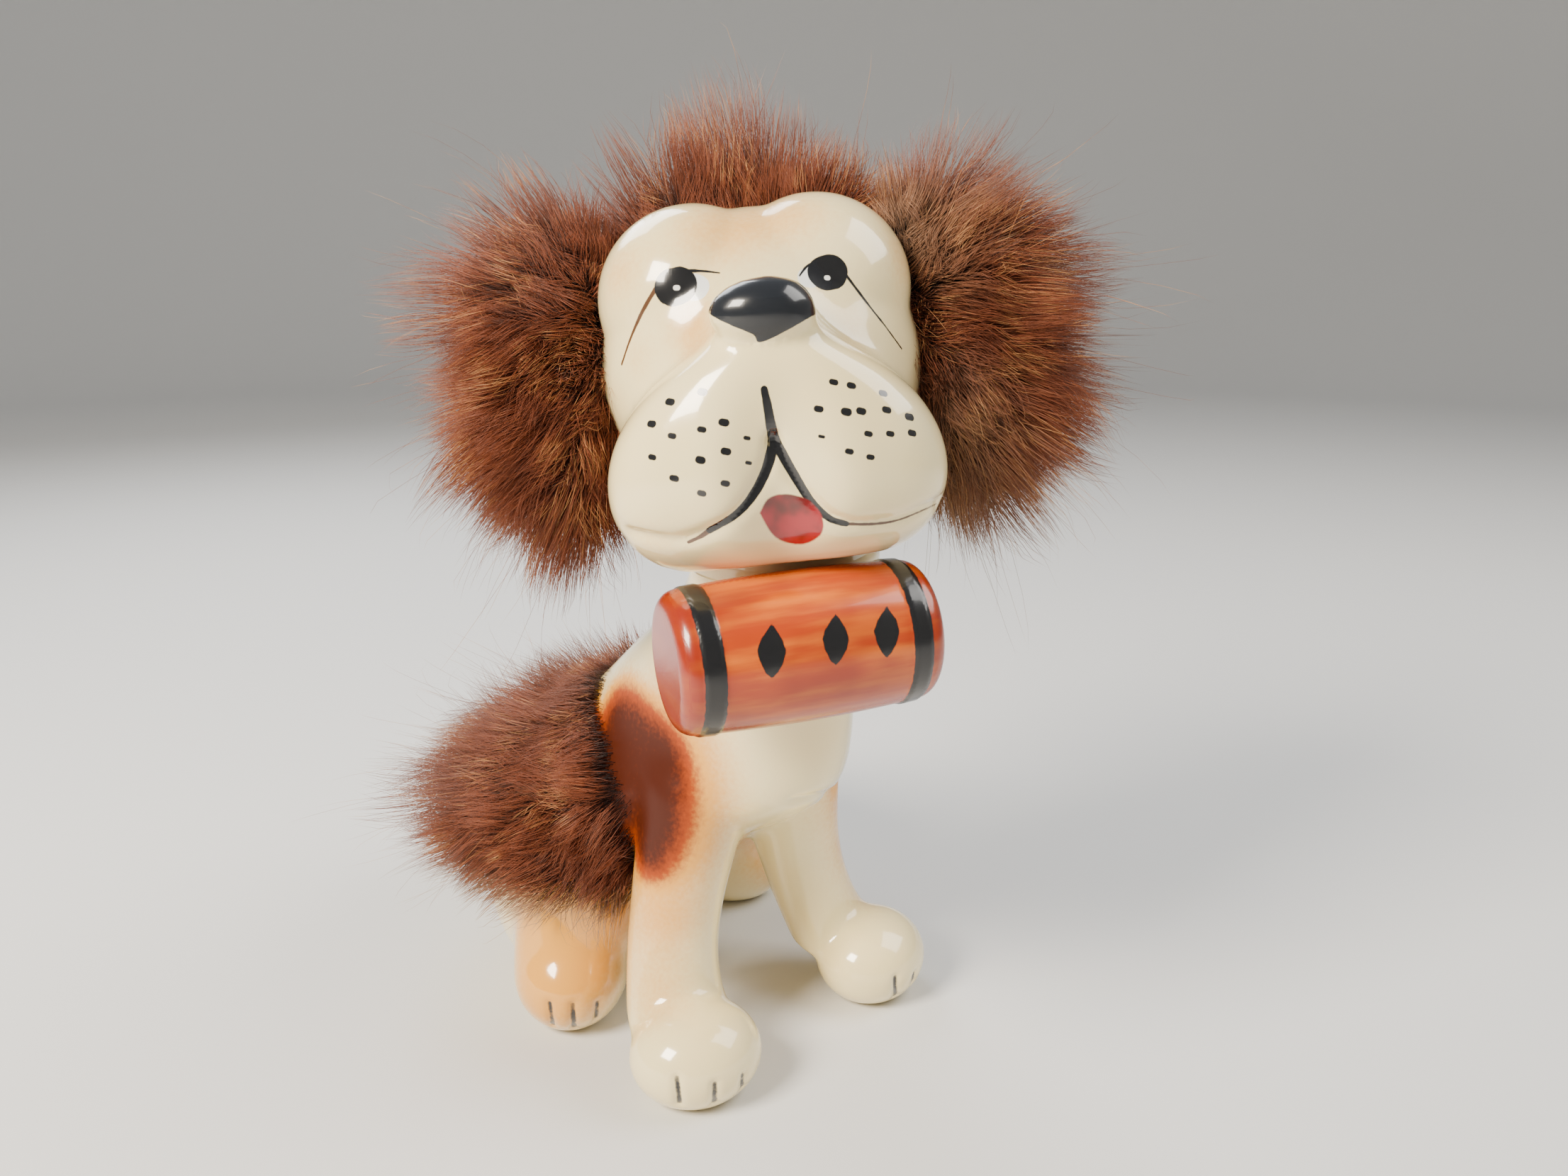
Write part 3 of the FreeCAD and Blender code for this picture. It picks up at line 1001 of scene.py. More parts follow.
@dataclass(frozen=True)
class HeadFrame:
    """Where the head's own frame is: turned on the neck, tipped back and tilted."""

    at: Triple = (-4.5 * MM, -23.0 * MM, 103.5 * MM)
    turn_deg: float = -41.5
    tip_deg: float = -10.0
    tilt_deg: float = -5.5

    def matrix(self) -> Matrix:
        """Works out the way from the head's own frame into the part's.

        Returns:
            The matrix.
        """
        turn = Matrix.Rotation(math.radians(self.turn_deg), 4, "Z")
        tip = Matrix.Rotation(math.radians(self.tip_deg), 4, "X")
        tilt = Matrix.Rotation(math.radians(self.tilt_deg), 4, "Y")
        return Matrix.Translation(self.at) @ turn @ tip @ tilt

    def turned(self) -> np.ndarray:
        """Returns the head's own axes as the columns of a matrix."""
        return np.array(self.matrix().to_3x3())

    def local(self, points: np.ndarray) -> np.ndarray:
        """Returns points of the part in the head's own frame."""
        return (points - np.array(self.at)) @ self.turned()


HEAD_FRAME = HeadFrame()


@dataclass(frozen=True)
class Head:
    """The head: skull, brows, muzzle and nose, with its painted face."""

    voxel: float = 0.58 * MM
    rounds: int = 13
    fine_margin: float = 1.1 * MM
    nose_at: Triple = (0.0, -24 * MM, 5.6 * MM)
    nose_half: Triple = (8.3 * MM, 5.4 * MM, 5.0 * MM)
    nose_turn: float = -0.12
    nose_back_z: float = 6.6 * MM
    chin_from: float = -19.0 * MM
    chin_drop: float = 1.3 * MM
    chin_height: float = 3 * MM
    chin_back: float = 3 * MM
    chin_run: float = 6 * MM
    whisker_width: float = 0.8 * MM
    whisker_spread: tuple[float, float] = (0.82, 1.18)
    small_whisker_width: float = 0.45 * MM
    whisker_slant: Pixel = (5.0, 1.0)
    whisker_seed: int = 7
    eyes: tuple[Stroke, ...] = strokes(
        (((949, 405), (957, 403)), 4.7),
        (((1164, 386), (1171, 384)), 4.5),
    )
    eye_lines: tuple[Stroke, ...] = strokes(
        (((951, 383), (984, 382), (1015, 385)), 0.5, 0.25),
        (((1147, 371), (1137, 377), (1128, 389)), 0.45, 0.25),
        (((1189, 382), (1222, 426), (1248, 459), (1272, 492)), 0.4, 0.22),
    )
    eye_whites: tuple[Stroke, ...] = strokes(
        (((978, 405), (982, 406)), 3.4),
        (((1146, 389), (1141, 392)), 2.8),
    )
    glints: tuple[Stroke, ...] = strokes(
        (((953, 406), (956, 406)), 0.62),
        (((1166, 392), (1168, 392)), 0.62),
    )
    tear_lines: tuple[Stroke, ...] = strokes(
        (((924, 409), (907, 438), (890, 476), (877, 514)), 0.6, 0.3),
        (((1001, 748), (988, 757), (971, 765)), 0.7, 0.35),
        (((1194, 739), (1233, 739), (1272, 732), (1327, 708)), 0.4, 0.2),
    )
    mouth: tuple[Stroke, ...] = strokes(
        (((1078, 549), (1083, 575), (1088, 603), (1092, 626)), 0.85, 1.5),
        (((1091, 617), (1084, 653), (1067, 691), (1040, 724), (1001, 748)), 1.5, 0.8),
        (((1092, 619), (1117, 664), (1145, 708), (1170, 731), (1194, 739)), 1.4, 0.7),
    )
    whiskers: Path = (
        (991, 553), (945, 567), (919, 598), (948, 615), (990, 606), (1021, 596), (920, 645),
        (988, 649), (1024, 637), (951, 675), (990, 696), (1023, 682), (1176, 539), (1201, 544),
        (1246, 555), (1155, 577), (1194, 581), (1215, 580), (1251, 578), (1283, 588), (1225, 612),
        (1256, 612), (1287, 611), (1198, 637), (1228, 645),
    )
    small_whiskers: Path = ((1054, 618), (1056, 653), (1159, 616))
    nose: Path = (
        (997, 435), (1026, 405), (1082, 386), (1137, 400), (1162, 431), (1130, 455), (1089, 477),
        (1070, 483), (1062, 472), (1031, 459), (1004, 445),
    )
    tongue: Path = (
        (1072, 724), (1084, 703), (1110, 697), (1141, 706), (1160, 730), (1157, 755), (1128, 768),
        (1093, 757),
    )
    tongue_reach: float = 6 * MM
    tan: tuple[Spot, ...] = spots(
        (1045, 315, 7.5, 0.5), (995, 332, 6.0, 0.35), (1123, 299, 6.0, 0.4), (973, 448, 3.6, 0.5),
        (984, 487, 4.0, 0.5), (874, 382, 5.0, 0.45), (1272, 365, 5.5, 0.4), (898, 503, 3.5, 0.3),
        (1200, 465, 4.5, 0.3), (918, 763, 4.5, 0.3),
    )
    creases: tuple[Path, ...] = (
        ((990, 450), (940, 480), (896, 520), (868, 619)),
        ((1150, 430), (1200, 450), (1250, 487), (1288, 531)),
    )
    crease_reach: float = 3.2 * MM
    crease_rounds: int = 40
    jowl_lines: tuple[Path, ...] = (
        ((1092, 619), (1078, 664), (1045, 719), (1001, 749), (951, 763), (890, 752)),
        ((1092, 619), (1117, 664), (1147, 710), (1194, 739), (1261, 734), (1325, 708)),
    )
    jowl_depth: float = 0.55 * MM
    jowl_width: float = 1.0 * MM

    def lines_to_refine(self, skin: Skin) -> list[np.ndarray]:
        """Finds every line of the face that needs fine faces.

        Args:
            skin: The head's surface.

        Returns:
            The points of each line.
        """
        pulls = self.eye_lines + self.tear_lines + self.mouth + self.glints
        rims = [pull.path for pull in pulls]
        rims += [self.nose + self.nose[:1], self.tongue + self.tongue[:1]]
        rims += [(spot, spot) for spot in self.whiskers + self.small_whiskers]
        rims += [eye.path for eye in self.eyes]
        return [line for line in map(skin.trace, rims) if len(line)]

    def whisker_strokes(self) -> tuple[Stroke, ...]:
        """Sets out the dots of both jowls, each a little larger or smaller than the next.

        Returns:
            The dots as very short strokes.
        """
        across, down = (part / 2 for part in self.whisker_slant)
        chance = np.random.default_rng(self.whisker_seed)
        widths = [self.whisker_width * chance.uniform(*self.whisker_spread) for _ in self.whiskers]
        sized = [*zip(self.whiskers, widths)]
        sized += [(at, self.small_whisker_width) for at in self.small_whiskers]
        return tuple(
            Stroke(((x - across, y - down), (x + across, y + down)), width)
            for (x, y), width in sized
        )

    def drop_chin(self, skin: Skin) -> None:
        """Lets the chin sag a little towards the keg.

        Args:
            skin: The head's surface.
        """
        local = HEAD_FRAME.local(skin.points)
        low = faded(self.chin_from - local[:, 2], self.chin_height)
        front = faded(-local[:, 1] - self.chin_back, self.chin_run)
        sag = self.chin_drop * low * front
        skin.move(skin.points - sag[:, None] * HEAD_FRAME.turned()[:, 2])

    def nose_paint(self, skin: Skin) -> np.ndarray:
        """Measures how far each vertex lies outside the nose's paint, which wraps round its back.

        Args:
            skin: The head's surface.

        Returns:
            The distances, less than zero where there is paint.
        """
        local = HEAD_FRAME.local(skin.points)
        away = np.linalg.norm((local - np.array(self.nose_at)) / np.array(self.nose_half), axis=1)
        lump = (away - 1) * min(self.nose_half)
        seen = skin.normals @ np.array(VIEW.axes()[2]) < self.nose_turn
        front = np.maximum(skin.outline_distance(rounded_outline(self.nose)), lump)
        return np.where(seen, front, np.maximum(lump, self.nose_back_z - local[:, 2]))

    def model(self) -> Skin:
        """Models the chin, the creases of the muzzle and the jowls.

        Returns:
            The head's surface.
        """
        skin = Skin(softened(merged_copy("head_casting"), self.voxel, self.rounds))
        self.drop_chin(skin)
        creases = [point for crease in self.creases for point in skin.trace(crease)]
        skin.ease([(point, self.crease_reach) for point in creases], self.crease_rounds)
        for line in self.jowl_lines:
            skin.carve(skin.trace(line), self.jowl_depth, self.jowl_width)
        skin.refine(self.lines_to_refine(skin), self.fine_margin)
        return skin

    def build(self, glaze: bpy.types.Material) -> None:
        """Models the head and paints its face.

        Args:
            glaze: The finish.
        """
        skin = self.model()
        skin.paint("ink", self.eyes + self.eye_lines + self.mouth + self.whisker_strokes())
        skin.paint("brown_ink", self.tear_lines)
        skin.paint("eye_white", self.eye_whites)
        skin.paint("glint", self.glints)
        skin.write("nose", self.nose_paint(skin))
        skin.paint_outline("tongue", rounded_outline(self.tongue), self.tongue_reach)
        skin.spray("tan", self.tan, (Side.LEFT,))
        skin.write("brown", 0.0)
        finished("glazed_head", skin.mesh, glaze, "glazed_body", "head_casting")


@dataclass(frozen=True)
class Torso:
    """The torso, legs and feet, with airbrushed shades and painted toes."""

    voxel: float = 0.68 * MM
    rounds: int = 22
    fine_margin: float = 1.4 * MM
    toe_width: float = 1.0 * MM
    toe_depth: float = 0.45 * MM
    toe_fade: float = 0.8 * MM
    toes: tuple[Path, ...] = (
        ((954, 1522), (958, 1558)),
        ((1009, 1531), (1009, 1563)),
        ((1050, 1518), (1047, 1553)),
        ((1264, 1380), (1264, 1406)),
        ((1291, 1375), (1286, 1404)),
        ((774, 1417), (779, 1448)),
        ((808, 1419), (810, 1452)),
        ((844, 1416), (842, 1448)),
    )
    hidden_toes_mm: tuple[Triple, ...] = ((31.5, 10.0, 4.6), (28.2, 8.1, 4.6), (34.0, 12.6, 4.6))
    hidden_toe_ends_mm: tuple[float, float] = (-2.2, 1.4)
    brown: tuple[Spot, ...] = spots(
        (930, 1062, 6.5, 0.9), (925, 1110, 7.0, 0.97), (922, 1160, 6.5, 0.95),
        (915, 1205, 5.5, 0.8), (900, 1020, 5.0, 0.6), (872, 1015, 6.5, 0.85),
        (868, 1070, 7.5, 0.97), (862, 1130, 7.5, 0.97),
    )
    brown_under_fur: float = 0.8
    brown_edge: float = 5 * MM
    tan: tuple[Spot, ...] = spots(
        (960, 1106, 8.5, 0.9), (953, 1194, 8.0, 0.85), (951, 1029, 8.0, 0.7),
        (960, 951, 7.0, 0.55), (1001, 857, 6.0, 0.4), (935, 1294, 6.5, 0.7),
        (927, 1405, 6.0, 0.45), (830, 1250, 11.0, 0.95), (763, 1327, 9.0, 0.95),
        (818, 1360, 8.0, 0.9), (763, 1410, 8.0, 0.9),
    )
    shoulders: tuple[Spot, ...] = spots(
        (957, 1088, 6.5), (925, 1080, 6.5), (1000, 1100, 6.0), (1190, 1110, 5.0),
    )
    shoulder_rounds: int = 70
    chest_crease: Path = ((1123, 1129), (1161, 1121), (1203, 1105))
    crease_depth: float = 0.5 * MM
    crease_width: float = 1.1 * MM

    def shoulder_places(self, skin: Skin) -> list[tuple[np.ndarray, float]]:
        """Finds where the shoulders run into the forelegs, on both sides of the chest.

        Args:
            skin: The torso's surface.

        Returns:
            Each place and its reach.
        """
        found = [(skin.hit(spot.at), spot.radius) for spot in self.shoulders]
        return [
            (np.array((place.x * side.value, place.y, place.z)), reach)
            for place, reach in found
            if place is not None
            for side in Side
        ]

    def toe_lines(self, skin: Skin) -> list[np.ndarray]:
        """Finds the lines between the toes, also on the foot that isn't seen.

        Args:
            skin: The torso's surface.

        Returns:
            The points of each line.
        """
        lines = [skin.trace(toe) for toe in self.toes]
        for x, y, z in self.hidden_toes_mm:
            ends = [Vector((x, y, z + end)) * MM for end in self.hidden_toe_ends_mm]
            lines.append(np.array([skin.tree.find_nearest(end)[0] for end in ends]))
        return lines

    def build(self, glaze: bpy.types.Material) -> None:
        """Models the torso and paints its toes and shades.

        Args:
            glaze: The finish.
        """
        skin = Skin(softened(merged_copy("torso_casting"), self.voxel, self.rounds))
        skin.ease(self.shoulder_places(skin), self.shoulder_rounds)
        skin.carve(skin.trace(self.chest_crease), self.crease_depth, self.crease_width)
        toes = self.toe_lines(skin)
        skin.refine(toes, self.fine_margin)
        nearest = np.full(len(skin.points), BARE)
        for toe in toes:
            skin.carve(toe, self.toe_depth, self.toe_fade)
            half_widths = np.full(len(toe), self.toe_width / 2)
            nearest = np.minimum(nearest, skin.distance(toe, half_widths))
        skin.write("ink", nearest)
        skin.leave_bare(*FACE_PAINTS)
        skin.spray("tan", self.tan, tuple(Side))
        under_fur = self.brown_under_fur * SADDLE.region(skin.points, self.brown_edge)
        skin.spray("brown", self.brown, tuple(Side), first=under_fur)
        finished("glazed_torso", skin.mesh, glaze, "glazed_body", "torso_casting")


@dataclass(frozen=True)
class NeckSlip:
    """The slip that runs round the neck between the two castings."""

    middle: Pixel = (-3.0 * MM, -25.5 * MM)
    low: float = 77.6 * MM
    high: float = 81.2 * MM
    radius: float = 13.1 * MM
    bulge: float = 0.35 * MM
    wall: float = 2.9 * MM
    sides: int = 96
    steps: int = 10
    tan: float = 0.2

    def build(self, glaze: bpy.types.Material) -> None:
        """Turns the ring of slip.

        Args:
            glaze: The finish.
        """
        profile = []
        for step in range(self.steps + 1):
            share = step / self.steps
            out = self.radius + self.bulge * math.sin(math.pi * share)
            profile.append((out, self.low + share * (self.high - self.low)))
        inner = self.radius - self.wall
        profile += [(inner, self.high), (inner, self.low)]
        shape = bmesh.new()
        rings = [circle(shape, out, z, self.sides, self.middle) for out, z in profile]
        join_rings(shape, [*rings, rings[0]])
        bmesh.ops.recalc_face_normals(shape, faces=shape.faces)
        skin = Skin(as_mesh(shape, "neck_slip"))
        skin.leave_bare("ink", *FACE_PAINTS)
        skin.write("tan", self.tan)
        skin.write("brown", 0.0)
        finished("neck_slip", skin.mesh, glaze, "slip", "neck_slip_joint")


@dataclass(frozen=True)
class Keg:
    """The keg, with raised hoops and three painted lozenges."""

    at: Triple = (-15.8 * MM, -41.0 * MM, 72.0 * MM)
    turn_deg: float = -25.0
    tilt_deg: float = -2.5
    voxel: float = 0.36 * MM
    rounds: int = 3
    outside_from: float = 7.4 * MM
    hoop_at: float = 13.3 * MM
    hoop_half_width: float = 1.35 * MM
    hoop_height: float = 0.22 * MM
    hoop_edge: float = 0.4 * MM
    end_from: float = 15.5 * MM
    end_radius: float = 8.4 * MM
    stave_radius: float = 9 * MM
    red_from: float = 11 * MM
    red_run: float = 5 * MM
    red_at_ends: float = 0.75
    # Painted shade: the keg's underside is made a darker red.
    under_from: float = 3 * MM
    under_run: float = 6 * MM
    red_under: float = 0.8
    camera_distance: float = 165 * MM
    daub_steps: int = 3
    daubs: tuple[Path, ...] = (
        ((1089, 879), (1109, 918), (1089, 957), (1068, 918)),
        ((1179, 865), (1198, 901), (1179, 939), (1160, 901)),
        ((1251, 854), (1269, 890), (1251, 928), (1233, 890)),
    )

    def local(self, points: np.ndarray) -> np.ndarray:
        """Brings points into the keg's own frame.

        Args:
            points: One point of the part on each row.

        Returns:
            The points, with the keg's length along the third axis.
        """
        turn = Matrix.Rotation(math.radians(self.turn_deg), 3, "Z")
        tilt = Matrix.Rotation(math.radians(90 + self.tilt_deg), 3, "Y")
        return (points - np.array(self.at)) @ np.array(turn @ tilt)

    def daub_distance(self, skin: Skin) -> np.ndarray:
        """Measures how far each vertex lies outside the daubs.

        Args:
            skin: The keg's surface.

        Returns:
            The distances, less than zero inside a daub.
        """
        pixels = VIEW.pixels(skin.points)
        outlines = [rounded_outline(daub, self.daub_steps) for daub in self.daubs]
        nearest = np.min([polygon_distance(pixels, outline) for outline in outlines], axis=0)
        seen = skin.normals @ np.array(VIEW.axes()[2]) < 0
        return np.where(seen, nearest * self.camera_distance / VIEW.focal(), BARE)

    def build(self, glaze: bpy.types.Material) -> None:
        """Models the keg and its hoops, and paints hoops, daubs, redder ends and a painted shade of
        darker red underneath.

        Args:
            glaze: The finish.
        """
        skin = Skin(softened(merged_copy("keg_casting"), self.voxel, self.rounds))
        across, up, along = self.local(skin.points).T
        out = np.hypot(across, up)
        hoop = np.abs(np.abs(along) - self.hoop_at) - self.hoop_half_width
        outside = out > self.outside_from
        lift = self.hoop_height * faded(-hoop, self.hoop_edge) * outside
        skin.move(skin.points + skin.normals * lift[:, None])
        skin.write("ink", np.minimum(np.where(outside, hoop, BARE), self.daub_distance(skin)))
        end = (np.abs(along) > self.end_from) & (out < self.end_radius)
        skin.write("along", np.where(end, up, along))
        skin.write("around", np.where(end, across, np.arctan2(up, across) * self.stave_radius))
        ends = faded(np.abs(along) - self.red_from, self.red_run)
        # Painted shade: darker red towards the keg's underside.
        under = faded(self.at[2] - self.under_from - skin.points[:, 2], self.under_run)
        skin.write("red", np.maximum(ends * self.red_at_ends, under * self.red_under))
        finished("glazed_keg", skin.mesh, glaze, "glazed_keg", "keg_casting")


@dataclass(frozen=True)
class Coat:
    """How one layer of hair grows: lengths are shares of the pile's own."""

    name: str
    hairs: int
    segments: int
    width: float
    shortest: float
    longest: float
    spread: float
    clumps: int
    pull: float
    droop: float
    seed: int
    tint_from: float = 0.0


COATS = (
    Coat(
        "undercoat", hairs=18500, segments=2, width=0.07 * MM, shortest=0.5, longest=0.95,
        spread=0.3, clumps=240, pull=0.45, droop=0.1, seed=3,
    ),
    Coat(
        "topcoat", hairs=7600, segments=4, width=0.06 * MM, shortest=0.7, longest=1.08,
        spread=0.24, clumps=130, pull=0.6, droop=0.16, seed=11,
    ),
    Coat(
        "strays", hairs=430, segments=6, width=0.035 * MM, shortest=1.0, longest=1.42,
        spread=0.55, clumps=40, pull=0.35, droop=0.2, seed=23, tint_from=0.7,
    ),
)


@dataclass(frozen=True)
class Pile:
    """One mass of fur: an ellipsoid that its hairs fill, and the core that they grow from."""

    name: str
    on_head: bool
    centre: Triple
    half: Triple
    core_centre: Triple
    core_half: Triple
    anchor: Triple
    away: float
    lift: float
    fall: float
    backwards: float = 0.0
    splay_deg: float = 0.0
    side: Side = Side.LEFT
    share: float = 1.0
    evenness: float = 0.93
    raggedness: float = 0.3
    ragged_scale: float = 110.0
    least: float = 3 * MM
    fullness: float = 1.3
    underfur: float = 0.0
    underfur_scale: float = 90.0
    underfur_shift: float = 5.0
    underfur_near: float = 0.6
    underfur_contrast: float = 1.6
    woolly: bool = True
    core_cuts: int = 5

    def matrix(self) -> Matrix:
        """Works out the way from the pile's own frame into the part's.

        Returns:
            The matrix.
        """
        base = HEAD_FRAME.matrix() if self.on_head else Matrix.Identity(4)
        mirror = Matrix.Diagonal((self.side.value, 1, 1, 1))
        about = Matrix.Translation(Vector(self.centre))
        splay = about @ Matrix.Rotation(math.radians(self.splay_deg), 4, "Y") @ about.inverted()
        return base @ mirror @ splay

    def reach(self, points: np.ndarray, ways: np.ndarray) -> np.ndarray:
        """Measures how far it is to the pile's outside.

        Args:
            points: Where to measure from, one on each row.
            ways: The way to measure from each point.

        Returns:
            The distances, somewhat enlarged to fill out the pile.
        """
        start = (points - np.array(self.centre)) / np.array(self.half)
        step = ways / np.array(self.half)
        along = (start * step).sum(1)
        size = (step * step).sum(1)
        inside = np.maximum(along**2 - size * ((start * start).sum(1) - 1), 0)
        return np.maximum((-along + np.sqrt(inside)) / size, self.least) * self.fullness

    def combed(self, points: np.ndarray, normals: np.ndarray) -> np.ndarray:
        """Combs the hair away from the anchor, outwards and down.

        Args:
            points: The hairs' roots, one on each row.
            normals: The surface's normal at each root.

        Returns:
            The vector from root to tip for each root.
        """
        away = unit_rows(points - np.array(self.anchor))
        drift = np.array((0, self.backwards, -self.fall))
        ways = unit_rows(self.away * away + self.lift * normals + drift)
        ragged = self.evenness + self.raggedness * uneven(points, self.ragged_scale)
        return ways * (self.reach(points, ways) * ragged)[:, None]

    def paleness(self, points: np.ndarray) -> np.ndarray:
        """Finds how much undyed underfur shows.

        Args:
            points: The hairs' roots, one on each row.

        Returns:
            The share at each root.
        """
        out = (points[:, 0] - self.core_centre[0]) / self.core_half[0]
        near = np.clip(self.underfur_near - out, 0, 1)
        patchy = self.underfur_contrast * uneven(points, self.underfur_scale, self.underfur_shift)
        return self.underfur * near * np.clip(0.5 + patchy, 0, 1)

    def ground(self) -> bpy.types.Mesh:
        """Makes the core, with the hair's vector and paleness at each vertex.

        Returns:
            The mesh that the hair grows from.
        """
        ball = bmesh.new()
        bmesh.ops.create_icosphere(ball, subdivisions=self.core_cuts, radius=1.0)
        unit = np.array([vertex.co for vertex in ball.verts])
        points = unit * np.array(self.core_half) + np.array(self.core_centre)
        normals = unit_rows(unit / np.array(self.core_half))
        matrix = self.matrix()
        for vertex, point in zip(ball.verts, points):
            vertex.co = matrix @ Vector(point)
        if self.side is Side.RIGHT:
            bmesh.ops.reverse_faces(ball, faces=ball.faces)
        mesh = as_mesh(ball, self.name)
        store(mesh, "comb", self.combed(points, normals) @ np.array(matrix.to_3x3()).T)
        store(mesh, "pale", self.paleness(points))
        store(mesh, "growing", np.ones(len(points)))
        return mesh


@dataclass(frozen=True)
class SaddlePile(Pile):
    """The pile over the back and the haunches, which grows from the body's own shape."""

    front: float = -7.0 * MM
    neck_from: float = 41.0 * MM
    neck_slope: float = 1.15
    low: float = 22.5 * MM
    high: float = 54.0 * MM
    edge: float = 2 * MM
    edge_scale: float = 160.0
    edge_raggedness: float = 3 * MM
    belly_half: float = 13 * MM
    belly_facing: float = -0.3
    thigh_half: float = 17 * MM
    thigh_top: float = 36 * MM
    pale_below: float = 27.0 * MM
    pale_run: float = 5 * MM
    palest: float = 0.75
    shortest: float = 9.0 * MM
    longest: float = 24.0 * MM
    voxel: float = 1.2 * MM
    rounds: int = 3

    def region(self, points: np.ndarray, edge: float) -> np.ndarray:
        """Finds where the body is covered by the pelt.

        Args:
            points: One point on each row.
            edge: The width of the soft edge.

        Returns:
            1 under the pelt, 0 elsewhere, and less at the edge.
        """
        ragged = uneven(points, self.edge_scale) * self.edge_raggedness
        _, y, z = points.T
        front = self.front + self.neck_slope * np.maximum(z - self.neck_from, 0)
        inside = np.minimum(y - front, np.minimum(z - self.low, self.high - z))
        return faded(inside + ragged, edge)

    def inward(self, skin: Skin) -> np.ndarray:
        """Finds the belly and the space between the legs, where no pelt lies.

        Args:
            skin: The body's surface.

        Returns:
            Which vertices lie there.
        """
        side = np.abs(skin.points[:, 0])
        facing = skin.normals[:, 1:].min(1) < self.belly_facing
        across = skin.normals[:, 0] * np.sign(skin.points[:, 0])
        thigh = (side < self.thigh_half) & (across < 0) & (skin.points[:, 2] < self.thigh_top)
        return (side < self.belly_half) & facing | thigh

    def reach(self, points: np.ndarray, ways: np.ndarray) -> np.ndarray:
        """Returns the distance to the pile's outside, between the shortest and longest hair."""
        return np.clip(super().reach(points, ways), self.shortest, self.longest)

    def ground(self) -> bpy.types.Mesh:
        """Makes an even copy of the torso, and marks where and how hair grows on it.

        Returns:
            The mesh that the hair grows from.
        """
        skin = Skin(softened(merged_copy("torso_casting"), self.voxel, self.rounds))
        outward = (skin.normals * (skin.points - np.array(self.core_centre))).sum(1) > 0
        pale = np.clip((self.pale_below - skin.points[:, 2]) / self.pale_run, 0, self.palest)
        growing = self.region(skin.points, self.edge) * outward * ~self.inward(skin)
        store(skin.mesh, "comb", self.combed(skin.points, skin.normals))
        skin.write("pale", pale)
        skin.write("growing", growing)
        return skin.mesh


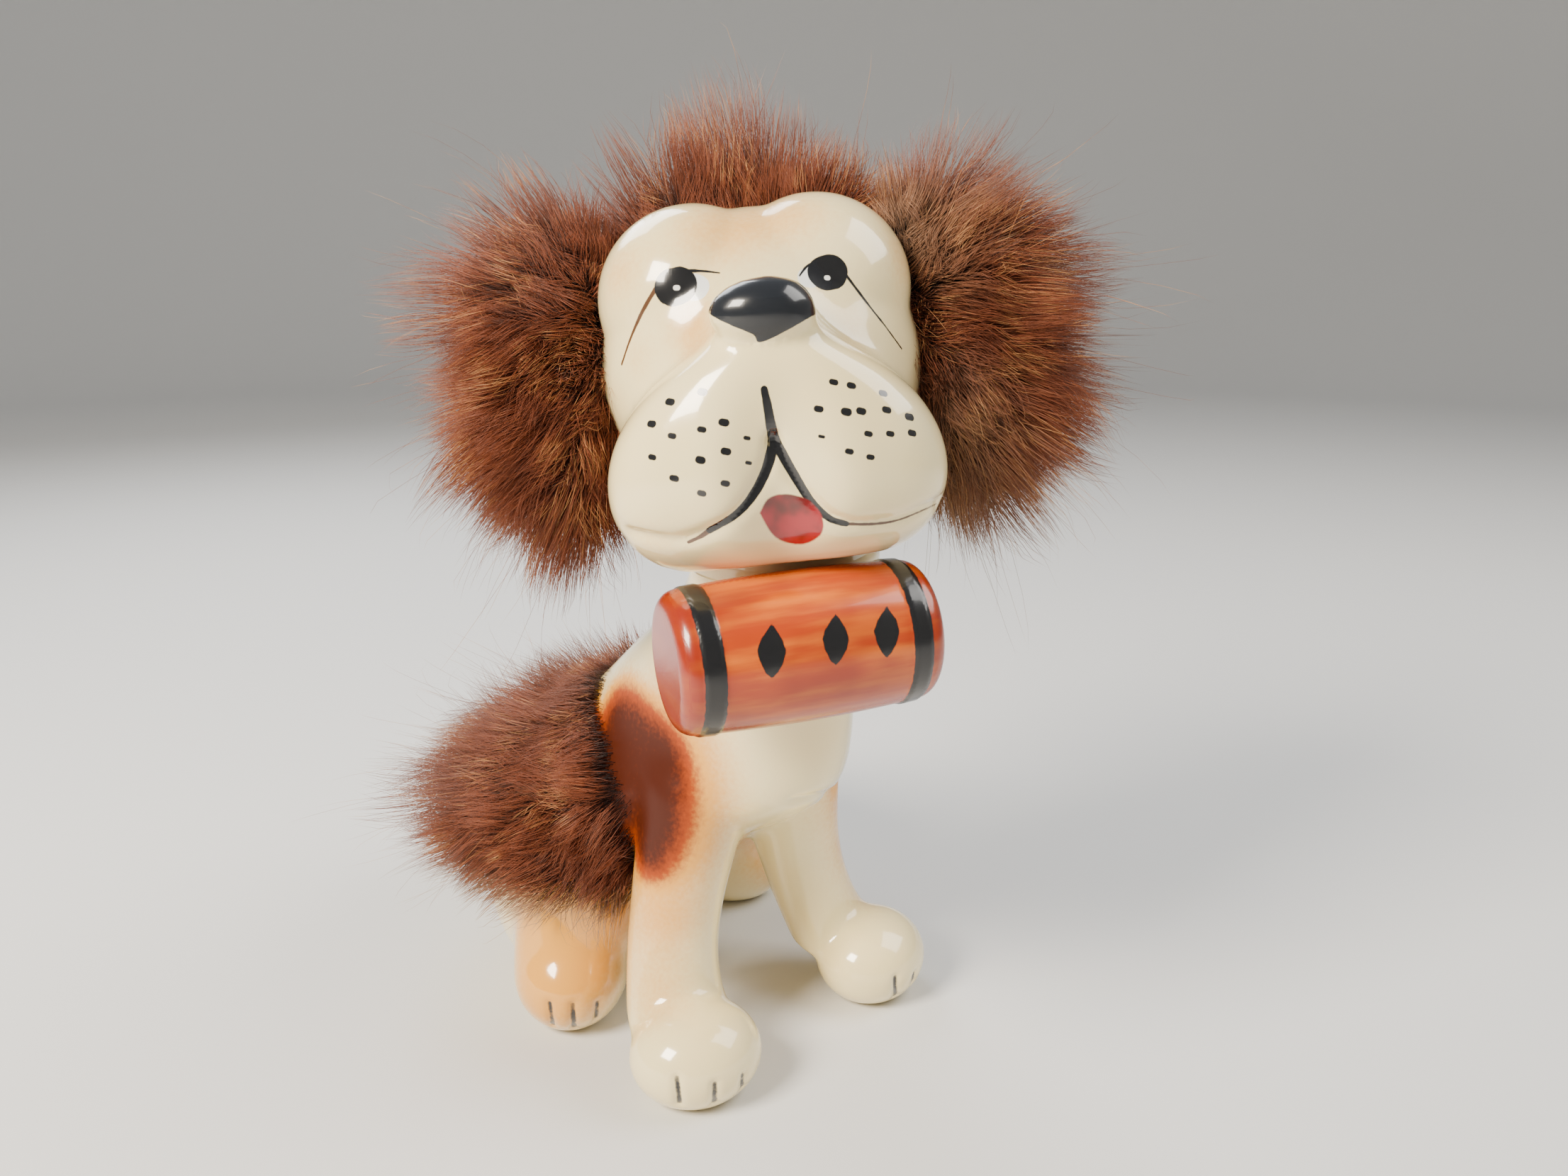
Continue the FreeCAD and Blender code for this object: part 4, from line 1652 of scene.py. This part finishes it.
class HairTree(NodeMaker):
    """The geometry nodes that grow a layer of hair on a mesh that says how it is combed."""

    numbers = (
        "Density", "Clump density", "Width", "Shortest", "Longest", "Spread", "Pull", "Droop",
        "Tint from",
    )
    others = (
        ("Seed", "NodeSocketInt"),
        ("Hair", "NodeSocketObject"),
        ("Finish", "NodeSocketMaterial"),
    )
    tuft_seeds = (50, 60)
    root_seeds = (1, 30)
    tint_seed = 20
    tuft_ruffle = 1.6

    def __init__(self) -> None:
        """Builds the tree."""
        super().__init__(bpy.data.node_groups.new("hair", "GeometryNodeTree"))
        inputs = [("Geometry", "NodeSocketGeometry")]
        inputs += [(name, "NodeSocketFloat") for name in self.numbers]
        for name, kind in (*inputs, *self.others):
            self.tree.interface.new_socket(name, in_out="INPUT", socket_type=kind)
        kind = "NodeSocketGeometry"
        self.tree.interface.new_socket("Geometry", in_out="OUTPUT", socket_type=kind)
        self.given = self.add("NodeGroupInput").outputs
        self.place = self.add("GeometryNodeInputPosition").outputs[0]
        self.connect()

    def named(self, name: str, kind: str = "FLOAT") -> bpy.types.NodeSocket:
        """Returns an attribute of the geometry."""
        node = self.add("GeometryNodeInputNamedAttribute", {"Name": name}, data_type=kind)
        return node.outputs[0]

    def vector(
        self, operation: str, first: object, second: object = None, scale: object = None
    ) -> bpy.types.NodeSocket:
        """Does one sum on vectors.

        Args:
            operation: The sum.
            first: The first vector.
            second: The second vector, for a sum on two.
            scale: The number to scale the first vector by.

        Returns:
            The resulting vector, or the length.
        """
        given = {0: first, 1: second, "Scale": scale}
        inputs = {key: value for key, value in given.items() if value is not None}
        node = self.add("ShaderNodeVectorMath", inputs, operation=operation)
        return node.outputs["Value" if operation == "LENGTH" else "Vector"]

    def seed(self, step: int) -> bpy.types.NodeSocket:
        """Returns the seed for one of the tree's random draws."""
        return self.maths("ADD", self.given["Seed"], float(step))

    def random(self, low: object, high: object, seed_step: int) -> bpy.types.NodeSocket:
        """Returns a random number for each hair."""
        inputs = {2: low, 3: high, "Seed": self.seed(seed_step)}
        return self.add("FunctionNodeRandomValue", inputs, data_type="FLOAT").outputs[1]

    def stray(self, seed_step: int) -> bpy.types.NodeSocket:
        """Returns a random vector for each hair, each part from -1 to 1."""
        inputs = {0: (-1, -1, -1), 1: (1, 1, 1), "Seed": self.seed(seed_step)}
        return self.add("FunctionNodeRandomValue", inputs, data_type="FLOAT_VECTOR").outputs[0]

    def store(self, points: object, name: str, value: object, kind: str) -> bpy.types.NodeSocket:
        """Stores a value on each point.

        Args:
            points: The points.
            name: The attribute's name.
            value: The value.
            kind: The attribute's type.

        Returns:
            The points with the attribute.
        """
        inputs = {"Geometry": points, "Name": name}
        node = self.add("GeometryNodeStoreNamedAttribute", inputs, data_type=kind)
        self.join(value, node.inputs["Value"])
        return node.outputs[0]

    def scattered(self, density: object, seed_step: int) -> bpy.types.NodeSocket:
        """Scatters points on the growing part of the surface.

        Args:
            density: Points on each square metre.
            seed_step: Which random draw it is.

        Returns:
            The points.
        """
        inputs = {
            "Mesh": self.given["Geometry"],
            "Density": self.maths("MULTIPLY", density, self.named("growing")),
            "Seed": self.seed(seed_step),
        }
        return self.add("GeometryNodeDistributePointsOnFaces", inputs).outputs["Points"]

    def hair_way(self, seed_step: int, ruffle: float) -> bpy.types.NodeSocket:
        """Ruffles each hair a little out of the way that it is combed.

        Args:
            seed_step: Which random draw it is.
            ruffle: How many times stronger than usual the hairs are ruffled.

        Returns:
            Each hair's vector from root to tip.
        """
        combed = self.named("comb", "FLOAT_VECTOR")
        size = self.random(self.given["Shortest"], self.given["Longest"], seed_step)
        spread = self.maths("MULTIPLY", self.vector("LENGTH", combed), self.given["Spread"])
        amount = self.maths("MULTIPLY", spread, ruffle)
        ruffled = self.vector("SCALE", self.stray(seed_step + 1), scale=amount)
        return self.vector("ADD", self.vector("SCALE", combed, scale=size), ruffled)

    def tufts(self) -> bpy.types.NodeSocket:
        """Scatters the tufts and stores where each one's tip is.

        Returns:
            The tufts.
        """
        points = self.scattered(self.given["Clump density"], self.tuft_seeds[0])
        tip = self.vector("ADD", self.place, self.hair_way(self.tuft_seeds[1], self.tuft_ruffle))
        return self.store(points, "tuft_tip", tip, "FLOAT_VECTOR")

    def roots(self, tufts: bpy.types.NodeSocket) -> bpy.types.NodeSocket:
        """Scatters the roots and stores each hair's tuft, tint and way.

        Args:
            tufts: The tufts.

        Returns:
            The roots.
        """
        points = self.scattered(self.given["Density"], self.root_seeds[0])
        inputs = {"Geometry": tufts, "Sample Position": self.place}
        nearest = self.add("GeometryNodeSampleNearest", inputs, domain="POINT").outputs[0]
        tuft = self.add(
            "GeometryNodeSampleIndex", {"Geometry": tufts}, data_type="FLOAT_VECTOR", domain="POINT"
        )
        self.join(self.named("tuft_tip", "FLOAT_VECTOR"), tuft.inputs["Value"])
        self.join(nearest, tuft.inputs["Index"])
        points = self.store(points, "tuft_at", tuft.outputs[0], "FLOAT_VECTOR")
        tint = self.random(self.given["Tint from"], 1.0, self.tint_seed)
        points = self.store(points, "tint", tint, "FLOAT")
        return self.store(points, "way", self.hair_way(self.root_seeds[1], 1.0), "FLOAT_VECTOR")

    def planted(self, roots: bpy.types.NodeSocket) -> bpy.types.NodeSocket:
        """Plants a straight hair on each root.

        Args:
            roots: The roots.

        Returns:
            The hairs as plain faces.
        """
        way = self.named("way", "FLOAT_VECTOR")
        width, length = self.given["Width"], self.vector("LENGTH", way)
        hair = self.add("GeometryNodeObjectInfo", {"Object": self.given["Hair"]})
        turned = self.add("FunctionNodeAlignRotationToVector", {"Vector": way}, axis="Z")
        size = self.add("ShaderNodeCombineXYZ", {0: width, 1: width, 2: length})
        inputs = {
            "Points": roots,
            "Instance": hair.outputs["Geometry"],
            "Rotation": turned.outputs[0],
            "Scale": size.outputs[0],
        }
        planted = self.add("GeometryNodeInstanceOnPoints", inputs).outputs[0]
        return self.add("GeometryNodeRealizeInstances", {"Geometry": planted}).outputs[0]

    def bent(self) -> bpy.types.NodeSocket:
        """Lets each hair droop, and draws its tip towards its tuft.

        Returns:
            The new place of each of its vertices.
        """
        bend = self.maths("POWER", self.named("along"), 2.0)
        length = self.vector("LENGTH", self.named("way", "FLOAT_VECTOR"))
        sag = self.maths("MULTIPLY", self.maths("MULTIPLY", bend, length), self.given["Droop"])
        down = self.vector("SCALE", (0.0, 0.0, -1.0), scale=sag)
        drooping = self.vector("ADD", self.place, down)
        gap = self.vector("SUBTRACT", self.named("tuft_at", "FLOAT_VECTOR"), drooping)
        pull = self.maths("MULTIPLY", bend, self.given["Pull"])
        return self.vector("ADD", drooping, self.vector("SCALE", gap, scale=pull))

    def connect(self) -> None:
        """Joins the steps, from the tufts to the finished hairs."""
        inputs = {"Geometry": self.planted(self.roots(self.tufts())), "Position": self.bent()}
        hairs = self.add("GeometryNodeSetPosition", inputs).outputs[0]
        inputs = {"Geometry": hairs, "Material": self.given["Finish"]}
        hairs = self.add("GeometryNodeSetMaterial", inputs).outputs[0]
        self.add("NodeGroupOutput", {"Geometry": hairs})


@dataclass
class Furrier:
    """Makes every piece of fur in one finish."""

    fur: bpy.types.Material
    free: float = 6 * MM
    curl: float = 3.5 * MM
    lowest: float = 0.3 * MM
    sides: int = 3
    root_thickness: float = 0.75
    taper: float = 0.35
    wool_along: float = 0.3
    wool_tint: float = 0.3
    working_names: tuple[str, ...] = ("comb", "growing", "tuft_at", "way")

    def __post_init__(self) -> None:
        """Makes the tree and one hair for each coat."""
        self.tree = HairTree().tree
        self.hairs = {coat.segments: self.hair(coat.segments) for coat in COATS}

    def hair(self, segments: int) -> bpy.types.Object:
        """Makes one hair, one unit long and one unit thick, as a slim closed spindle.

        Args:
            segments: How many parts it has along its length.

        Returns:
            The hair.
        """
        spindle = bmesh.new()
        rings = []
        for step in range(segments):
            along = step / segments
            thick = 1.0 - self.taper * along if step else self.root_thickness
            rings.append(circle(spindle, thick, along, self.sides))
        tip = spindle.verts.new((0, 0, 1))
        spindle.faces.new(reversed(rings[0]))
        join_rings(spindle, rings)
        for side in range(self.sides):
            spindle.faces.new((rings[-1][side], rings[-1][(side + 1) % self.sides], tip))
        mesh = as_mesh(spindle, "hair")
        store(mesh, "along", coordinates(mesh)[:, 2])
        mesh.shade_smooth()
        return in_scene("hair", mesh)

    def settings(self, pile: Pile, coat: Coat, area: float) -> dict[str, object]:
        """Lists what the tree is given for one coat of one pile.

        Args:
            pile: The pile.
            coat: The coat.
            area: The area that hair grows on.

        Returns:
            The tree's inputs by name.
        """
        return {
            "Density": coat.hairs * pile.share / area,
            "Clump density": coat.clumps * pile.share / area,
            "Width": coat.width,
            "Shortest": coat.shortest,
            "Longest": coat.longest,
            "Spread": coat.spread,
            "Pull": coat.pull,
            "Droop": coat.droop,
            "Tint from": coat.tint_from,
            "Seed": coat.seed,
            "Hair": self.hairs[coat.segments],
            "Finish": self.fur,
        }

    def grow(self, ground: bpy.types.Mesh, pile: Pile, coat: Coat) -> bpy.types.Mesh:
        """Grows one coat on one pile.

        Args:
            ground: The mesh that the hair grows from.
            pile: The pile.
            coat: The coat.

        Returns:
            The hairs.
        """
        values = np.empty(len(ground.vertices), np.float32)
        ground.attributes["growing"].data.foreach_get("value", values)
        area = sum(face.area * values[face.vertices[0]] for face in ground.polygons)
        holder = in_scene("holder", ground)
        modifier = holder.modifiers.new("hair", "NODES")
        modifier.node_group = self.tree
        settings = self.settings(pile, coat, area)
        for socket in self.tree.interface.items_tree:
            if socket.in_out == "INPUT" and socket.name in settings:
                modifier[socket.identifier] = settings[socket.name]
        grown = evaluated(holder)
        self.trim(grown)
        return grown

    def trim(self, mesh: bpy.types.Mesh) -> None:
        """Curls back the tips that stray furthest from the figure.

        Args:
            mesh: The hairs.
        """
        points = coordinates(mesh)
        low, high = (np.array(corner) for corner in CAD_BOX)
        for edge, sign in ((high + self.free, 1), (low - self.free, -1)):
            beyond = np.maximum(sign * (points - edge), 0)
            points += sign * (self.curl * np.tanh(beyond / self.curl) - beyond)
        points[:, 2] = np.maximum(points[:, 2], self.lowest)
        move_vertices(mesh, points)

    def hand_over(self, pile: Pile, layer: str, mesh: bpy.types.Mesh) -> None:
        """Finishes one layer of a pile.

        Args:
            pile: The pile.
            layer: The layer's name.
            mesh: Its mesh.
        """
        for name in self.working_names:
            if name in mesh.attributes:
                mesh.attributes.remove(mesh.attributes[name])
        finished(f"{pile.name}_{layer}", mesh, self.fur, "fur", f"{pile.name}_fur")

    def dress(self, pile: Pile) -> None:
        """Makes the woolly core that shows where the hairs part, and every coat of hair.

        Args:
            pile: The pile.
        """
        ground = pile.ground()
        if pile.woolly:
            wool = Skin(ground.copy())
            # The core is coloured like the hair a little way from its root, so it is partly
            # darkened by the painted shade there.
            wool.write("along", self.wool_along)
            wool.write("tint", self.wool_tint)
            self.hand_over(pile, "wool", wool.mesh)
        for coat in COATS:
            self.hand_over(pile, coat.name, self.grow(ground.copy(), pile, coat))

    def clear_up(self) -> None:
        """Removes the single hairs that the coats were grown from."""
        for hair in self.hairs.values():
            bpy.data.objects.remove(hair)


def ear(side: Side, half_width: float, underfur: float) -> Pile:
    """Describes the pile of one ear.

    Args:
        side: Which ear.
        half_width: Half the pile's width.
        underfur: How much undyed underfur shows.

    Returns:
        The pile.
    """
    return Pile(
        name=f"{side.name.lower()}_ear",
        on_head=True,
        centre=(30.5 * MM, 4.5 * MM, 2.0 * MM),
        half=(half_width, 14 * MM, 30 * MM),
        core_centre=(25.0 * MM, 4.0 * MM, 4.0 * MM),
        core_half=(8.0 * MM, 6.5 * MM, 16.5 * MM),
        anchor=(17 * MM, 4.5 * MM, 7 * MM),
        away=0.75,
        lift=0.7,
        fall=0.3,
        splay_deg=-6.0,
        side=side,
        raggedness=0.5,
        underfur=underfur,
    )


LEFT_EAR = ear(Side.LEFT, 17 * MM, 0.42)
RIGHT_EAR = ear(Side.RIGHT, 15 * MM, 0.0)
TOPKNOT = Pile(
    name="topknot",
    on_head=True,
    centre=(0.0, 8.5 * MM, 22 * MM),
    half=(23 * MM, 8.5 * MM, 18.5 * MM),
    core_centre=(0.0, 8.5 * MM, 17.0 * MM),
    core_half=(17.5 * MM, 3.8 * MM, 6.0 * MM),
    anchor=(0.0, 8.5 * MM, -4 * MM),
    away=0.8,
    lift=0.6,
    fall=0.0,
    share=0.6,
    raggedness=0.5,
)
SADDLE = SaddlePile(
    name="saddle",
    on_head=False,
    centre=(1.6 * MM, 24.2 * MM, 29.5 * MM),
    half=(37 * MM, 32 * MM, 22 * MM),
    core_centre=(0.0, 14 * MM, 32 * MM),
    core_half=(20 * MM, 20 * MM, 20 * MM),
    anchor=(0.0, -4 * MM, 41 * MM),
    away=0.7,
    lift=0.8,
    fall=0.3,
    backwards=0.25,
    raggedness=0.45,
    fullness=1.12,
    woolly=False,
)


@dataclass(frozen=True)
class Lamp:
    """One soft light that faces the figure."""

    name: str
    place: Triple
    size: float
    power: float
    colour: Triple
    aim: Triple = (0.0, 0.0, 0.07)

    def hang(self) -> None:
        """Puts the light in the scene."""
        data = bpy.data.lights.new(self.name, "AREA")
        data.size = self.size
        data.energy = self.power
        data.color = self.colour
        light = in_scene(self.name, data)
        light.location = self.place
        light.rotation_mode = "QUATERNION"
        light.rotation_quaternion = (Vector(self.aim) - light.location).to_track_quat("-Z", "Y")


@dataclass(frozen=True)
class Studio:
    """A plain pale floor that sweeps up all round the figure, and soft light."""

    flat: float = 1.0
    bend: float = 0.5
    wall: float = 1.5
    steps: int = 16
    sides: int = 96
    paint: PlainFinish = PlainFinish("floor", Tone.FLOOR, Tone.FLOOR, 0.75, 30.0, 0.05 * MM)
    sky_strength: float = 0.34
    lamps: tuple[Lamp, ...] = (
        Lamp("key", (-0.45, 0.0, 0.40), 0.20, 7.6, (1.0, 0.90, 0.76)),
        Lamp("fill", (0.34, -0.30, 0.52), 0.40, 3.4, (1.0, 0.97, 0.93)),
        Lamp("back", (0.10, 0.42, 0.42), 0.30, 2.2, (0.95, 0.97, 1.0)),
    )

    def lay_floor(self) -> None:
        """Makes the floor, whose faces point up and inwards."""
        profile = [(self.flat / 2, 0.0), (self.flat, 0.0)]
        for step in range(1, self.steps + 1):
            angle = math.pi / 2 * step / self.steps
            out = self.flat + self.bend * math.sin(angle)
            profile.append((out, self.bend * (1 - math.cos(angle))))
        profile.append((self.flat + self.bend, self.wall))
        sweep = bmesh.new()
        rings = [circle(sweep, out, z, self.sides) for out, z in profile]
        sweep.faces.new(rings[0])
        join_rings(sweep, rings[::-1])
        mesh = as_mesh(sweep, "floor")
        mesh.shade_smooth()
        mesh.materials.append(self.paint.make())
        floor = in_scene("floor", mesh)

    def build(self) -> None:
        """Makes the floor, the lights and the sky."""
        self.lay_floor()
        for lamp in self.lamps:
            lamp.hang()
        world = bpy.data.worlds.new("sky")
        world.use_nodes = True
        background = world.node_tree.nodes["Background"]
        background.inputs["Color"].default_value = Tone.SKY.value
        background.inputs["Strength"].default_value = self.sky_strength
        bpy.context.scene.world = world


HIDDEN_FINISHES = {
    "_hide": PlainFinish("raw_hide", Tone.HIDE, Tone.FUR_BODY, 0.8, 700.0, 0.3 * MM),
    "_glue": PlainFinish("dried_glue", Tone.GLUE, Tone.HIDE, 0.35, 300.0, 0.2 * MM),
    "_slip_joint": PlainFinish("plain_glaze", Tone.CREAM, Tone.WARM_CREAM, 0.2, 80.0, 0.1 * MM),
}


def dress_hidden_nodes() -> None:
    """Gives the hides, the glue and the keg's slip their finishes."""
    for ending, finish in HIDDEN_FINISHES.items():
        material = finish.make()
        for name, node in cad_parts.items():
            if name.endswith(ending):
                node.data.materials.clear()
                node.data.materials.append(material)


def main() -> None:
    """Builds the camera, the castings, the fur and the studio."""
    logging.basicConfig(level=logging.INFO, format="%(message)s")
    VIEW.make_camera()
    dress_hidden_nodes()
    glaze = GlazeFinish().make()
    Torso().build(glaze)
    Head().build(glaze)
    NeckSlip().build(glaze)
    Keg().build(KegFinish().make())
    furrier = Furrier(FurFinish().make())
    for pile in (LEFT_EAR, RIGHT_EAR, TOPKNOT, SADDLE):
        furrier.dress(pile)
    furrier.clear_up()
    Studio().build()


if __name__ == "__main__":
    main()
